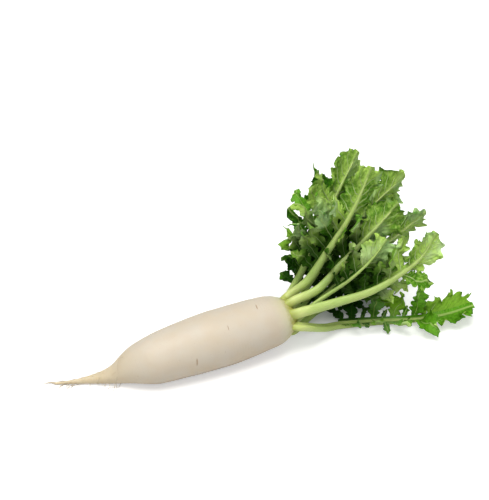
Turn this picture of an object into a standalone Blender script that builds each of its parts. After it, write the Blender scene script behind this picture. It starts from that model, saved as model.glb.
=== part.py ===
"""A white radish lying on its side with its head of leaves. Metres, +Z up.

The root runs along X: its crown looks along +X and its tail along -X. It rests on z = 0, and the origin
is on the small flat spot under its widest part. Each leaf is a stalk, which runs on as the midrib, and a
thin blade cut into lobes, which lies on the midrib.
"""

import math
import random
from dataclasses import dataclass, replace

import bmesh
import bpy
from mathutils import Vector
from mathutils.bvhtree import BVHTree

# Root: (distance back from the crown plate, radius). Negative distances are the crown's low dome.
ROOT_PROFILE = (
    (-0.0075, 0.0050),
    (-0.0060, 0.0110),
    (-0.0025, 0.0162),
    (0.0015, 0.0200),
    (0.0060, 0.0238),
    (0.0130, 0.0272),
    (0.0220, 0.0294),
    (0.0450, 0.0312),
    (0.0790, 0.0328),
    (0.1230, 0.0308),
    (0.1610, 0.0268),
    (0.1770, 0.0220),
    (0.1880, 0.0168),
    (0.1990, 0.0112),
    (0.2120, 0.0074),
    (0.2260, 0.0048),
    (0.2410, 0.0027),
    (0.2630, 0.0011),
)
ROOT_SIDES = 26
ROOT_RINGS = 42
SHOULDER_RINGS = 12
SHOULDER_END = 0.026

# Lie of the root: its shoulder is raised, its belly is pressed on the flat spot, and its tail lies flat
CROWN_X = 0.079
WIDEST_RADIUS = 0.0328
FLAT_DEPTH = 0.0006
SHOULDER_SLOPE = 0.066
TAIL_START = 0.158
TAIL_LENGTH = 0.105
TAIL_SWING = 0.033
TAIL_LIFT = 0.0016

# Crown and the two rings of leaf stalks that stand in it
STALK_SINK = 0.0025
OUTER_RING = 0.0160
INNER_RING = 0.0062
OUTER_SPLAY = 30.0
INNER_SPLAY = 12.0
NECK_LENGTH = 0.012
NECK_STEP = 0.006
NECK_RINGS = 4
SOCKET_GAP = 0.00035

# Stalk and midrib
STALK_SIDES = 8
STALK_RINGS = 14
STALK_DEPTH = 0.78
STALK_TAPER = 1.7
RIB_TIP_WIDTH = 0.0020
RIB_END = 0.965
ROUTE_SAMPLES = 160

# Blade
BLADE_THICKNESS = 0.0008
BLADE_GAP = 0.0005
WING = 0.0022
LOBE_ROWS = 5
LOBE_COLUMNS = 2
LOBE_TEETH = 2.5
LOBE_TOOTH_DEPTH = 0.13
LOBE_FOOT = 0.22
LOBE_BOW = 0.10
LOBE_WAVES = 1.25
LOBE_TILT = 24.0
LOBE_SWING = 10.0
TIP_ROWS = 6
TIP_COLUMNS = 2
TIP_TEETH = 3
TIP_TOOTH_DEPTH = 0.11
TIP_LEAN = 84.0
TIP_CLOSING = 42.0
TIP_WAVE = 0.0024
TIP_WAVES = 2.2
TIP_FOLD_SHARE = 0.7

# A lobe is turned by the first of these angles, or made smaller, until it is this far from what is in place
CLEARANCE = 0.0017
LOWEST_BLADE = 0.0012
BENDS = (0, 10, -10, 20, -20, 32, -32, 46, -46, 60)
SCALES = (1.0, 0.85, 0.70, 0.55)
STEEPEST = 52.0
LOWEST_RISE = -36.0

SHARP_EDGE = 50.0
GROUND_SIZE = (0.4, 0.2, 0.02)


@dataclass
class Leaf:
    """One leaf: where it leaves the crown, the way it runs and the lobes that it carries."""

    name: str
    clock: float  # degrees round the crown, 0 towards -Y and 90 up
    inner: bool  # on the inner ring of stalks
    route: tuple  # points that the stalk and midrib pass, from under the crown
    facing: tuple  # the way the upper side of the blade looks
    stalk_width: float
    bare: float  # share of the leaf below the first lobes
    pairs: int
    lobe_length: float
    lobe_width: float
    fold: float  # degrees that each half of the blade rises
    tip_length: float
    tip_width: float
    seed: int


LEAVES = (
    Leaf("leaf_front_low", -4, False,
         ((0.040, -0.013, 0.0170), (0.067, -0.005, 0.0064), (0.105, -0.015, 0.0054), (0.148, -0.029, 0.0050),
          (0.183, -0.038, 0.0080), (0.209, -0.044, 0.015)),
         (0.1, 0.0, 1.0), 0.0122, 0.34, 4, 0.032, 0.018, 35, 0.046, 0.044, 2),
    Leaf("leaf_front_sweep", 41, False,
         ((0.052, -0.021, 0.056), (0.092, -0.027, 0.064), (0.128, -0.026, 0.076), (0.155, -0.022, 0.089),
          (0.172, -0.016, 0.106)),
         (0.1, 0.95, -0.1), 0.0124, 0.42, 4, 0.033, 0.018, 12, 0.042, 0.038, 4),
    Leaf("leaf_inner_front", 29, True,
         ((0.043, -0.010, 0.060), (0.069, -0.015, 0.078), (0.091, -0.016, 0.096), (0.111, -0.012, 0.113)),
         (0.1, 0.9, 0.1), 0.0060, 0.44, 3, 0.028, 0.015, 16, 0.034, 0.030, 29),
    Leaf("leaf_mid_arch", 83, False,
         ((0.037, -0.002, 0.066), (0.067, 0.003, 0.088), (0.100, 0.009, 0.110), (0.137, 0.017, 0.135)),
         (0.0, 1.0, 0.0), 0.0116, 0.38, 5, 0.048, 0.018, 14, 0.048, 0.044, 15),
    Leaf("leaf_high_arch", 124, False,
         ((0.029, 0.009, 0.073), (0.053, 0.011, 0.104), (0.081, 0.015, 0.141), (0.105, 0.021, 0.187)),
         (-0.1, 1.0, 0.0), 0.0116, 0.27, 6, 0.048, 0.018, 14, 0.048, 0.044, 15),
    Leaf("leaf_top", 163, False,
         ((0.030, 0.025, 0.077), (0.054, 0.036, 0.115), (0.082, 0.049, 0.151), (0.112, 0.067, 0.180)),
         (-0.1, 1.0, 0.1), 0.0094, 0.22, 6, 0.042, 0.018, 12, 0.046, 0.042, 2),
    Leaf("leaf_back_high", 201, False,
         ((0.030, 0.038, 0.054), (0.052, 0.060, 0.082), (0.078, 0.081, 0.106), (0.105, 0.100, 0.126)),
         (-0.2, -0.8, 0.5), 0.0090, 0.20, 6, 0.038, 0.017, 12, 0.046, 0.042, 16),
    Leaf("leaf_back_mid", 239, False,
         ((0.051, 0.036, 0.030), (0.097, 0.062, 0.036), (0.141, 0.080, 0.050), (0.177, 0.086, 0.078)),
         (0.1, -0.6, 0.8), 0.0090, 0.18, 6, 0.044, 0.019, 12, 0.048, 0.042, 2),
    Leaf("leaf_back_low", 277, False,
         ((0.047, 0.022, 0.012), (0.087, 0.034, 0.0050), (0.127, 0.044, 0.0062), (0.168, 0.046, 0.022)),
         (0.0, -0.35, 1.0), 0.0090, 0.34, 5, 0.036, 0.018, 26, 0.044, 0.036, 17),
    Leaf("leaf_inner_right", 299, True,
         ((0.057, 0.014, 0.044), (0.106, 0.030, 0.058), (0.153, 0.042, 0.072), (0.195, 0.050, 0.088)),
         (0.1, 0.95, 0.2), 0.0062, 0.22, 6, 0.044, 0.019, 14, 0.046, 0.042, 2),
    Leaf("leaf_inner_arch", 209, True,
         ((0.045, 0.030, 0.056), (0.091, 0.058, 0.068), (0.139, 0.082, 0.078), (0.184, 0.100, 0.088)),
         (0.0, -0.75, 0.6), 0.0062, 0.20, 6, 0.044, 0.019, 12, 0.046, 0.042, 15),
    Leaf("leaf_inner_back", 119, True,
         ((0.043, 0.020, 0.066), (0.084, 0.034, 0.098), (0.127, 0.048, 0.122), (0.169, 0.060, 0.140)),
         (0.0, 0.9, 0.2), 0.0062, 0.22, 7, 0.046, 0.018, 14, 0.046, 0.042, 15),
)


def catmull_rom(values, t):
    """The smooth curve through the values (numbers or vectors) at t, which runs from 0 to len(values) - 1."""
    last = len(values) - 1
    i = min(int(t), last - 1)
    u = t - i
    before = values[i - 1] if i > 0 else values[0] * 2 - values[1]
    after = values[i + 2] if i + 2 <= last else values[last] * 2 - values[last - 1]
    start, end = values[i], values[i + 1]
    return (
        start * 2
        + (end - before) * u
        + (before * 2 - start * 5 + end * 4 - after) * u * u
        + (start * 3 - before - end * 3 + after) * u**3
    ) * 0.5


def root_radius(distance):
    """Radius of the root at this distance back from the crown plate."""
    distances = [d for d, _ in ROOT_PROFILE]
    radii = [r for _, r in ROOT_PROFILE]
    for i in range(len(distances) - 1):
        if distance <= distances[i + 1]:
            share = (distance - distances[i]) / (distances[i + 1] - distances[i])
            return catmull_rom(radii, i + max(0.0, share))
    return radii[-1]


def root_centre(distance):
    """Point of the root's centreline at this distance back from the crown plate."""
    x = CROWN_X - distance
    tail = max(0.0, (distance - TAIL_START) / TAIL_LENGTH)
    if x > 0:
        height = WIDEST_RADIUS - FLAT_DEPTH + SHOULDER_SLOPE * x
    else:
        height = root_radius(distance) - FLAT_DEPTH + TAIL_LIFT * tail
    return Vector((x, TAIL_SWING * tail**1.1, height))


def root_distances():
    """Where the root's rings stand: close together at the shoulder, wider along the body."""
    first, last = ROOT_PROFILE[0][0], ROOT_PROFILE[-1][0]
    shoulder = [first + (SHOULDER_END - first) * (i / SHOULDER_RINGS) ** 1.4 for i in range(SHOULDER_RINGS)]
    body_rings = ROOT_RINGS - SHOULDER_RINGS
    body = [SHOULDER_END + (last - SHOULDER_END) * i / body_rings for i in range(body_rings + 1)]
    return shoulder + body


class Midline:
    """The line that a stalk and its midrib follow, with the frame of the blade along it."""

    def __init__(self, points, facing):
        self.facing = Vector(facing).normalized()
        last = len(points) - 1
        self.points = [catmull_rom(points, last * i / ROUTE_SAMPLES) for i in range(ROUTE_SAMPLES + 1)]
        self.runs = [0.0]
        for a, b in zip(self.points, self.points[1:]):
            self.runs.append(self.runs[-1] + (b - a).length)
        self.length = self.runs[-1]

    def at(self, share):
        """(point, tangent, upward normal, sideways) at this share of the length. It runs straight on past its ends."""
        run = share * self.length
        inside = min(max(run, 0.0), self.length)
        i = max(j for j in range(ROUTE_SAMPLES) if self.runs[j] <= inside)
        a, b = self.points[i], self.points[i + 1]
        part = (inside - self.runs[i]) / (self.runs[i + 1] - self.runs[i])
        before, after = self.points[max(i - 2, 0)], self.points[min(i + 3, ROUTE_SAMPLES)]
        tangent = (after - before).normalized()
        point = a.lerp(b, part) + tangent * (run - inside)
        normal = (self.facing - tangent * self.facing.dot(tangent)).normalized()
        return point, tangent, normal, tangent.cross(normal)


def midline_of(leaf):
    ring = INNER_RING if leaf.inner else OUTER_RING
    splay = math.radians(INNER_SPLAY if leaf.inner else OUTER_SPLAY)
    clock = math.radians(leaf.clock)
    outwards = Vector((0, -math.cos(clock), math.sin(clock)))
    base = root_centre(STALK_SINK) + outwards * ring
    neck = base + (Vector((math.cos(splay), 0, 0)) + outwards * math.sin(splay)) * NECK_LENGTH
    route = [Vector((CROWN_X + x, y, z)) for x, y, z in leaf.route]
    return Midline([base, neck, *route], leaf.facing)


def stalk_width(leaf, share):
    """Width of the stalk and midrib: full at the crown, still bold at the middle of the leaf, thin at its tip."""
    run = min(max(share, 0.0) / RIB_END, 1.0)
    return leaf.stalk_width + (RIB_TIP_WIDTH - leaf.stalk_width) * run**STALK_TAPER


def web_edge(leaf, midline, share, side):
    """Edge of the narrow wing that the blade has along its midrib."""
    point, _, normal, sideways = midline.at(share)
    width = stalk_width(leaf, share)
    lift = width * STALK_DEPTH / 2 * math.cos(math.pi / STALK_SIDES) + BLADE_GAP + BLADE_THICKNESS / 2
    return point + normal * lift + sideways * (side * (width / 2 + WING))


@dataclass
class Lobe:
    """One side lobe of a blade. Its grid runs across from 0 to 1 towards the leaf's tip, and along from 0 to 1."""

    centre: float  # share of the midline
    foot: float  # half of its foot, in shares of the midline
    side: int
    length: float
    width: float
    lean: float  # angle from the midline
    rise: float  # angle up from flat
    curl: float
    twist: float
    wave: float
    phase: float

    columns = LOBE_COLUMNS
    rows = LOBE_ROWS

    def bent(self, angle, scale):
        return replace(self, rise=self.rise + angle, length=self.length * scale, width=self.width * scale)

    def stations(self):
        """Shares of the midline that its foot has points at."""
        return [self.centre + self.foot * (2 * i / self.columns - 1) for i in range(self.columns + 1)]

    def point(self, leaf, midline, across, along):
        if along < 1e-9:
            return web_edge(leaf, midline, self.centre + (2 * across - 1) * self.foot, self.side)
        start = web_edge(leaf, midline, self.centre, self.side)
        _, tangent, normal, sideways = midline.at(self.centre)
        outwards = sideways * self.side
        raised = outwards * math.cos(self.rise) + normal * math.sin(self.rise)
        up = normal * math.cos(self.rise) - outwards * math.sin(self.rise)
        forwards = tangent * math.cos(self.lean) + raised * math.sin(self.lean)
        broad = tangent * math.sin(self.lean) - raised * math.cos(self.lean)
        half = self.width / 2 * lobe_outline(along) * (2 * across - 1)
        bow = LOBE_BOW * self.length * along * along
        edge = abs(2 * across - 1) ** 1.5
        turn = LOBE_WAVES * along + self.phase + 0.25 * (across > 0.5)
        ripple = self.wave * edge * math.sin(math.tau * turn)
        lift = self.curl * self.length * along**2 + half * math.tan(self.twist) * min(1.0, along * 2) + ripple
        return start + forwards * (self.length * along) + broad * (half + bow) + up * lift


@dataclass
class TipHalf:
    """One half of the broad end lobe. Its grid runs across from 0 at the midrib to 1, and along to the tip."""

    start: float  # share of the midline
    side: int
    width: float
    rise: float
    droop: float
    phase: float

    columns = TIP_COLUMNS
    rows = TIP_ROWS

    def bent(self, angle, scale):
        return replace(self, rise=self.rise + angle, width=self.width * scale)

    def stations(self):
        """Shares of the midline that its foot has points at."""
        return [self.start + (1 - self.start) * i / self.rows for i in range(self.rows + 1)]

    def point(self, leaf, midline, across, along):
        share = self.start + (1 - self.start) * along
        edge = web_edge(leaf, midline, share, self.side)
        if across < 1e-9:
            return edge
        _, tangent, normal, sideways = midline.at(share)
        lean = math.radians(TIP_LEAN - TIP_CLOSING * along)
        raised = sideways * self.side * math.cos(self.rise) + normal * math.sin(self.rise)
        half = self.width * tip_outline(along) * across
        ripple = TIP_WAVE * across**1.5 * math.sin(math.tau * (TIP_WAVES * along + self.phase))
        lift = ripple + self.droop * half * across
        return edge + (tangent * math.cos(lean) + raised * math.sin(lean)) * half + normal * lift


def lobe_outline(along):
    """Half width of a side lobe, as a share of its widest, with blunt teeth down both edges."""
    body = math.sin(math.pi * (0.10 + 0.84 * along) ** 1.12) ** 0.6
    return body * (1 - LOBE_TOOTH_DEPTH * math.cos(math.tau * LOBE_TEETH * along))


def tip_outline(along):
    """Half width of the end lobe, as a share of its widest, with blunt teeth down its edge."""
    body = math.sin(math.pi * (0.07 + 0.86 * along)) ** 0.75
    return body * (1 - TIP_TOOTH_DEPTH * math.cos(math.tau * TIP_TEETH * along))


def wanted_lobes(leaf, length):
    """The lobes of a leaf before they are bent clear: the end lobe's halves, then pairs from the tip down."""
    draw = random.Random(leaf.seed)
    tip_start = 1 - leaf.tip_length / length
    first = leaf.bare + 0.02
    last = tip_start - 0.02
    lobes = [
        TipHalf(
            start=tip_start,
            side=side,
            width=leaf.tip_width / 2 * draw.uniform(0.9, 1.1),
            rise=math.radians(leaf.fold * TIP_FOLD_SHARE),
            droop=draw.uniform(-0.25, 0.05),
            phase=draw.uniform(0, 1),
        )
        for side in (-1, 1)
    ]
    for pair in reversed(range(leaf.pairs)):
        along = (pair + 0.5) / leaf.pairs
        centre = first + (last - first) * (along + draw.uniform(-0.02, 0.02))
        for side in (-1, 1):
            lobes.append(
                Lobe(
                    centre=centre,
                    foot=leaf.lobe_width * LOBE_FOOT / length,
                    side=side,
                    length=leaf.lobe_length * (0.42 + 0.62 * along) * draw.uniform(0.86, 1.1),
                    width=leaf.lobe_width * (0.66 + 0.38 * along) * draw.uniform(0.9, 1.08),
                    lean=math.radians(76 - 16 * along + draw.uniform(-LOBE_SWING, LOBE_SWING)),
                    rise=math.radians(leaf.fold + draw.uniform(-LOBE_TILT, LOBE_TILT)),
                    curl=draw.uniform(-0.40, 0.20),
                    twist=math.radians(draw.uniform(2, 18)),
                    wave=draw.uniform(0.0018, 0.0038),
                    phase=draw.uniform(0, 1),
                )
            )
    return lobes


class Patch:
    """A surface that is in place or tried: its points, its tree of faces and its box."""

    def __init__(self, owner, points, faces, wing=False):
        self.owner = owner
        self.wing = wing
        self.points = points
        self.tree = BVHTree.FromPolygons(points, faces)
        self.low = [min(p[axis] for p in points) for axis in range(3)]
        self.high = [max(p[axis] for p in points) for axis in range(3)]

    def near(self, other):
        gaps = [max(self.low[i] - other.high[i], other.low[i] - self.high[i]) for i in range(3)]
        return max(gaps) < CLEARANCE

    def touches(self, other):
        """Whether it crosses the other patch or, where they have other owners, comes within the clearance of it.

        A lobe is joined to the wing of its own leaf, so these two are let be.
        """
        if not self.near(other) or (other.wing and self.owner == other.owner):
            return False
        if self.tree.overlap(other.tree):
            return True
        if self.owner == other.owner:
            return False
        found = [other.tree.find_nearest(p, CLEARANCE)[0] for p in self.points]
        found += [self.tree.find_nearest(p, CLEARANCE)[0] for p in other.points]
        return any(place is not None for place in found)


def grid_patch(owner, columns, rows, place, wing=False):
    points = [place(i / columns, j / rows) for j in range(rows + 1) for i in range(columns + 1)]
    corners = [j * (columns + 1) + i for j in range(rows) for i in range(columns)]
    return Patch(owner, points, [(c, c + 1, c + columns + 2, c + columns + 1) for c in corners], wing)


def root_patch():
    first, last = ROOT_PROFILE[0][0], ROOT_PROFILE[-1][0]

    def place(around, along):
        distance = first + (last - first) * along
        angle = math.tau * around
        return root_centre(distance) + Vector((0, math.cos(angle), math.sin(angle))) * root_radius(distance)

    return grid_patch("root", ROOT_SIDES, ROOT_RINGS, place)


def stalk_patch(leaf, midline):
    shares = stalk_shares(midline)
    return grid_patch(leaf.name, STALK_SIDES, len(shares) - 1, stalk_surface(leaf, midline, shares))


def wing_patch(leaf, midline):
    """The strip of blade along the midrib."""
    def place(across, along):
        return web_edge(leaf, midline, leaf.bare + (1 - leaf.bare) * along, 2 * round(across) - 1)

    return grid_patch(leaf.name, 1, STALK_RINGS, place, wing=True)


def lobe_patch(leaf, midline, lobe):
    return grid_patch(leaf.name, lobe.columns, lobe.rows, lambda u, v: lobe.point(leaf, midline, u, v))


def bend_clear(leaves, midlines, in_place):
    """The lobes of each leaf, each turned about its foot or made smaller until it is clear of all that is in place.

    A lobe that has no room at all is left out.
    """
    grown = {}
    for leaf in leaves:
        midline = midlines[leaf.name]
        grown[leaf.name] = []
        for lobe in wanted_lobes(leaf, midline.length):
            for scale, angle in ((s, a) for s in SCALES for a in BENDS):
                bent = lobe.bent(math.radians(angle), scale)
                if not LOWEST_RISE < math.degrees(bent.rise) < STEEPEST:
                    continue
                patch = lobe_patch(leaf, midline, bent)
                if patch.low[2] > LOWEST_BLADE and not any(patch.touches(other) for other in in_place):
                    patch.owner = "lobe"
                    in_place.append(patch)
                    grown[leaf.name].append(bent)
                    break
    return grown


def mapped_grid(bm, columns, rows, place):
    """Adds a grid of columns by rows faces, with each point at place(across, along), both from 0 to 1."""
    made = bmesh.ops.create_grid(bm, x_segments=columns, y_segments=rows, size=0.5)
    for vert in made["verts"]:
        vert.co = place(vert.co.x + 0.5, vert.co.y + 0.5)


def blade_mesh(leaf, midline, lobes):
    """The blade as an open sheet: a narrow wing along the midrib, side lobes in pairs and the end lobe."""
    bm = bmesh.new()
    stations = sorted({leaf.bare}.union(*(lobe.stations() for lobe in lobes)))
    for low, high in zip(stations, stations[1:]):
        mapped_grid(bm, 1, 1, lambda u, v: web_edge(leaf, midline, low + (high - low) * v, 2 * round(u) - 1))
    for lobe in lobes:
        mapped_grid(bm, lobe.columns, lobe.rows, lambda u, v: lobe.point(leaf, midline, u, v))
    bmesh.ops.remove_doubles(bm, verts=bm.verts, dist=1e-6)
    bmesh.ops.recalc_face_normals(bm, faces=bm.faces)
    bmesh.ops.triangulate(bm, faces=bm.faces)
    return mesh_from(bm, leaf.name + "_blade")


def neck_shares(midline):
    """Where the rings of a stalk stand in its neck, as shares of the midline."""
    return [i * NECK_STEP / midline.length for i in range(NECK_RINGS + 1)]


def stalk_shares(midline):
    """Where all the rings of a stalk stand: at even steps past its neck."""
    neck = neck_shares(midline)
    rest = [neck[-1] + (RIB_END - neck[-1]) * (i + 1) / STALK_RINGS for i in range(STALK_RINGS)]
    return neck + rest


def stalk_surface(leaf, midline, shares, grow=0.0):
    """The function of a stalk's surface, around and along it from 0 to 1, with its rings at the shares."""
    def place(around, along):
        share = shares[round(along * (len(shares) - 1))]
        point, _, normal, sideways = midline.at(share)
        width = stalk_width(leaf, share) + 2 * grow
        depth = stalk_width(leaf, share) * STALK_DEPTH + 2 * grow
        angle = math.tau * (around + 0.5 / STALK_SIDES)
        return point + sideways * (math.cos(angle) * width / 2) + normal * (math.sin(angle) * depth / 2)

    return place


def stalk_mesh(name, leaf, midline, shares, grow=0.0):
    """A closed tube along the midline, flat on its upper side, with rings at the shares and grow wider all round."""
    bm = bmesh.new()
    mapped_grid(bm, STALK_SIDES, len(shares) - 1, stalk_surface(leaf, midline, shares, grow))
    bmesh.ops.remove_doubles(bm, verts=bm.verts, dist=1e-6)
    bmesh.ops.holes_fill(bm, edges=[e for e in bm.edges if e.is_boundary])
    bmesh.ops.recalc_face_normals(bm, faces=bm.faces)
    return mesh_from(bm, name)


def mesh_from(bm, name):
    mesh = bpy.data.meshes.new(name)
    bm.to_mesh(mesh)
    bm.free()
    return mesh


def material(name, colour, roughness):
    made = bpy.data.materials.new(name)
    made.use_nodes = True
    shader = made.node_tree.nodes["Principled BSDF"]
    shader.inputs["Base Color"].default_value = (*colour, 1)
    shader.inputs["Roughness"].default_value = roughness
    shader.inputs["Metallic"].default_value = 0
    return made


def new_collection(name):
    made = bpy.data.collections.new(name)
    bpy.context.scene.collection.children.link(made)
    return made


def add_object(collection, mesh, finish):
    made = bpy.data.objects.new(mesh.name, mesh)
    made.data.materials.append(finish)
    collection.objects.link(made)
    mesh.shade_smooth()
    mesh.set_sharp_from_angle(angle=math.radians(SHARP_EDGE))
    return made


def add_cutter(collection, mesh):
    made = bpy.data.objects.new(mesh.name, mesh)
    made.hide_render = True
    made.display_type = "WIRE"
    collection.objects.link(made)
    return made


def add_root(collection, finish):
    """The root with its crown: one curve whose radius follows the profile, made a mesh so that it can be cut."""
    curve = bpy.data.curves.new("root_curve", "CURVE")
    curve.dimensions = "3D"
    curve.bevel_depth = 1.0
    curve.bevel_resolution = (ROOT_SIDES - 4) // 2
    curve.use_fill_caps = True
    distances = root_distances()
    spline = curve.splines.new("POLY")
    spline.points.add(len(distances) - 1)
    for point, distance in zip(spline.points, distances):
        point.co = (*root_centre(distance), 1)
        point.radius = root_radius(distance)
    guide = bpy.data.objects.new("root_curve", curve)
    collection.objects.link(guide)
    bpy.context.view_layer.update()
    mesh = bpy.data.meshes.new_from_object(guide.evaluated_get(bpy.context.evaluated_depsgraph_get()))
    mesh.name = "radish_root"
    bpy.data.objects.remove(guide)
    bm = bmesh.new()
    bm.from_mesh(mesh)
    bmesh.ops.remove_doubles(bm, verts=bm.verts, dist=1e-6)
    bmesh.ops.recalc_face_normals(bm, faces=bm.faces)
    bm.to_mesh(mesh)
    bm.free()
    mesh.materials.clear()
    return add_object(collection, mesh, finish)


def ground_block():
    """A block whose top is the surface that the radish rests on."""
    bm = bmesh.new()
    bmesh.ops.create_cube(bm, size=1)
    bmesh.ops.scale(bm, vec=GROUND_SIZE, verts=bm.verts)
    bmesh.ops.translate(bm, vec=(0, 0, -GROUND_SIZE[2] / 2), verts=bm.verts)
    return mesh_from(bm, "ground_block")


def add_blade(collection, leaf, midline, lobes, finish):
    blade = add_object(collection, blade_mesh(leaf, midline, lobes), finish)
    thick = blade.modifiers.new("thickness", "SOLIDIFY")
    thick.thickness = BLADE_THICKNESS
    thick.offset = 0


def add_socket(collection, leaf, midline):
    """The hole in the crown that the foot of a stalk stands in, a little wider than the stalk."""
    shares = [-SOCKET_GAP / midline.length, *neck_shares(midline)[1:]]
    add_cutter(collection, stalk_mesh(leaf.name + "_socket", leaf, midline, shares, SOCKET_GAP))


def cut(target, name):
    """An empty Boolean difference on the target, for the caller to give its cutter to."""
    made = target.modifiers.new(name, "BOOLEAN")
    made.operation = "DIFFERENCE"
    made.solver = "EXACT"
    return made


def main():
    for obj in list(bpy.data.objects):
        bpy.data.objects.remove(obj)
    parts = new_collection("radish")
    cutters = new_collection("socket_cutters")
    skin = material("root_skin", (0.86, 0.81, 0.72), 0.42)
    stalk_green = material("stalk_green", (0.48, 0.62, 0.17), 0.45)
    blade_green = material("blade_green", (0.13, 0.30, 0.05), 0.5)
    root = add_root(parts, skin)
    midlines = {leaf.name: midline_of(leaf) for leaf in LEAVES}
    in_place = [root_patch()]
    for leaf in LEAVES:
        midline = midlines[leaf.name]
        add_object(parts, stalk_mesh(leaf.name + "_stalk", leaf, midline, stalk_shares(midline)), stalk_green)
        add_socket(cutters, leaf, midline)
        in_place += [stalk_patch(leaf, midline), wing_patch(leaf, midline)]
    grown = bend_clear(LEAVES, midlines, in_place)
    for leaf in LEAVES:
        add_blade(parts, leaf, midlines[leaf.name], grown[leaf.name], blade_green)
    sockets = cut(root, "stalk sockets")
    sockets.operand_type = "COLLECTION"
    sockets.collection = cutters
    flat = cut(root, "flat spot")
    flat.object = add_cutter(new_collection("ground"), ground_block())


main()
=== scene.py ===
"""The looks of a white radish with its leaves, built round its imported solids. Metres, +Z up."""

import math
import random
from bisect import bisect_right
from dataclasses import dataclass, replace

import bmesh
import bpy
import numpy as np
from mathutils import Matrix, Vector, noise
from mathutils.bvhtree import BVHTree


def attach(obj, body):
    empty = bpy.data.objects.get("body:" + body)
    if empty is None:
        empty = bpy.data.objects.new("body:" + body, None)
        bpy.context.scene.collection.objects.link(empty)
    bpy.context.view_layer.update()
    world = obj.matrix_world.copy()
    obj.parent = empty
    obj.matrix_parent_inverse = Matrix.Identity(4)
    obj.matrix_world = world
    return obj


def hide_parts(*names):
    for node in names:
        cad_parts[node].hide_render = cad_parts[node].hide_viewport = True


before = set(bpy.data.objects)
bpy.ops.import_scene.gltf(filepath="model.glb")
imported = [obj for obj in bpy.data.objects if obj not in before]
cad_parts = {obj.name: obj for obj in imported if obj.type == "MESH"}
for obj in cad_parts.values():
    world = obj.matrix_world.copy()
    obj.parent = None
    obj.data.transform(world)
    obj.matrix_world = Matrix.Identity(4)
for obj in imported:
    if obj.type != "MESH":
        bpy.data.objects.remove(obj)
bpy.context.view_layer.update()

# The photograph: its size, where the crown's centre stands in it, and the way that it looks at the radish
PHOTO_SIZE = (489, 500)
CROWN_PIXEL = (287.3, 315.8)
PIXEL = 0.00112
PHOTO_AZIMUTH = -23.3
PHOTO_ELEVATION = 36.0
CAMERA_DISTANCE = 1.5
SENSOR = 36.0

# Root: (distance back from the crown plate, radius). Negative distances are the crown's low dome.
ROOT_PROFILE = (
    (-0.0075, 0.0050),
    (-0.0060, 0.0110),
    (-0.0025, 0.0162),
    (0.0015, 0.0200),
    (0.0060, 0.0238),
    (0.0130, 0.0272),
    (0.0220, 0.0294),
    (0.0450, 0.0312),
    (0.0790, 0.0328),
    (0.1230, 0.0308),
    (0.1610, 0.0268),
    (0.1770, 0.0220),
    (0.1880, 0.0168),
    (0.1990, 0.0112),
    (0.2120, 0.0074),
    (0.2260, 0.0048),
    (0.2410, 0.0027),
    (0.2630, 0.0011),
)
ROOT_SIDES = 26
ROOT_RINGS = 42

# Lie of the root: its shoulder is raised, its belly is pressed on the flat spot, and its tail lies flat
CROWN_X = 0.079
WIDEST_RADIUS = 0.0328
FLAT_DEPTH = 0.0006
SHOULDER_SLOPE = 0.066
TAIL_START = 0.158
TAIL_LENGTH = 0.105
TAIL_SWING = 0.033
TAIL_LIFT = 0.0016

# Crown and the two rings of leaf stalks that stand in it
STALK_SINK = 0.0025
OUTER_RING = 0.0160
INNER_RING = 0.0062
OUTER_SPLAY = 30.0
INNER_SPLAY = 12.0
NECK_LENGTH = 0.012
NECK_STEP = 0.006
NECK_RINGS = 4

# Stalk and midrib
STALK_SIDES = 8
STALK_RINGS = 14
STALK_DEPTH = 0.78
STALK_TAPER = 1.7
RIB_TIP_WIDTH = 0.0020
RIB_END = 0.965
ROUTE_SAMPLES = 160

# Blade
SOLID_THICKNESS = 0.0008
BLADE_GAP = 0.0005
WING = 0.0022
LOBE_ROWS = 5
LOBE_COLUMNS = 2
LOBE_TEETH = 2.5
LOBE_TOOTH_DEPTH = 0.13
LOBE_FOOT = 0.22
LOBE_BOW = 0.10
LOBE_WAVES = 1.25
LOBE_TILT = 24.0
LOBE_SWING = 10.0
TIP_ROWS = 6
TIP_COLUMNS = 2
TIP_TEETH = 3
TIP_TOOTH_DEPTH = 0.11
TIP_LEAN = 84.0
TIP_CLOSING = 42.0
TIP_WAVE = 0.0024
TIP_WAVES = 2.2
TIP_FOLD_SHARE = 0.7
BARE_MARGIN = 0.02  # share of the leaf without lobes past its bare stalk and before its end lobe

# A lobe is turned by one of these angles, or made smaller, so that it is this far from what is in place
CLEARANCE = 0.0017
LOWEST_BLADE = 0.0012
BENDS = (0, 10, -10, 20, -20, 32, -32, 46, -46, 60)
SCALES = (1.0, 0.85, 0.70, 0.55)
STEEPEST = 52.0
LOWEST_RISE = -36.0

# Fine surfaces
SKIN_SIDES = 216
SKIN_RINGS = 380
FINE_STALK_SIDES = 26
FINE_STALK_RINGS = 130
LOBE_GRID = (22, 34)
TIP_GRID = (18, 44)
LEAFLET_GRID = (12, 16)
LEAF_THICKNESS = 0.00042
VEIN_SPACING = 0.0058
VEIN_SLANT = 0.75
PILLOW = 0.00035
GROOVE = 0.00040
TIP_PUSH = (0.0085, 0.048)  # how far the end of an end lobe of this length is drawn forwards
FINE_WING = 0.0042
LOBE_SPREAD = 1.12
LOBE_TURN = math.radians(74)
WELD = 2e-6
SHORTEST_EDGE = 1e-7

# How crowded the blades are is measured on a grid of cells, from points along each lobe, and sets the painted
# shade on leaves and stalks
CROWD_CELL = 0.006
CROWD_REACH = 0.015
CROWD_ABOVE = 0.012
CROWD_FULL = 97
CROWD_STATIONS = (0.1, 0.35, 0.6, 0.85)

# The blades are crumpled by fields of smooth noise: (size of the noise, how far it carries a point)
CRUMPLES = ((36, 0.0082), (88, 0.0050), (190, 0.0025))
CRUMPLE_SEED = 8
noise.seed_set(CRUMPLE_SEED)

# Small leaflets between the main lobes
LEAFLET_LENGTH = 0.0200
LEAFLET_WIDTH = 0.0112


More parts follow.
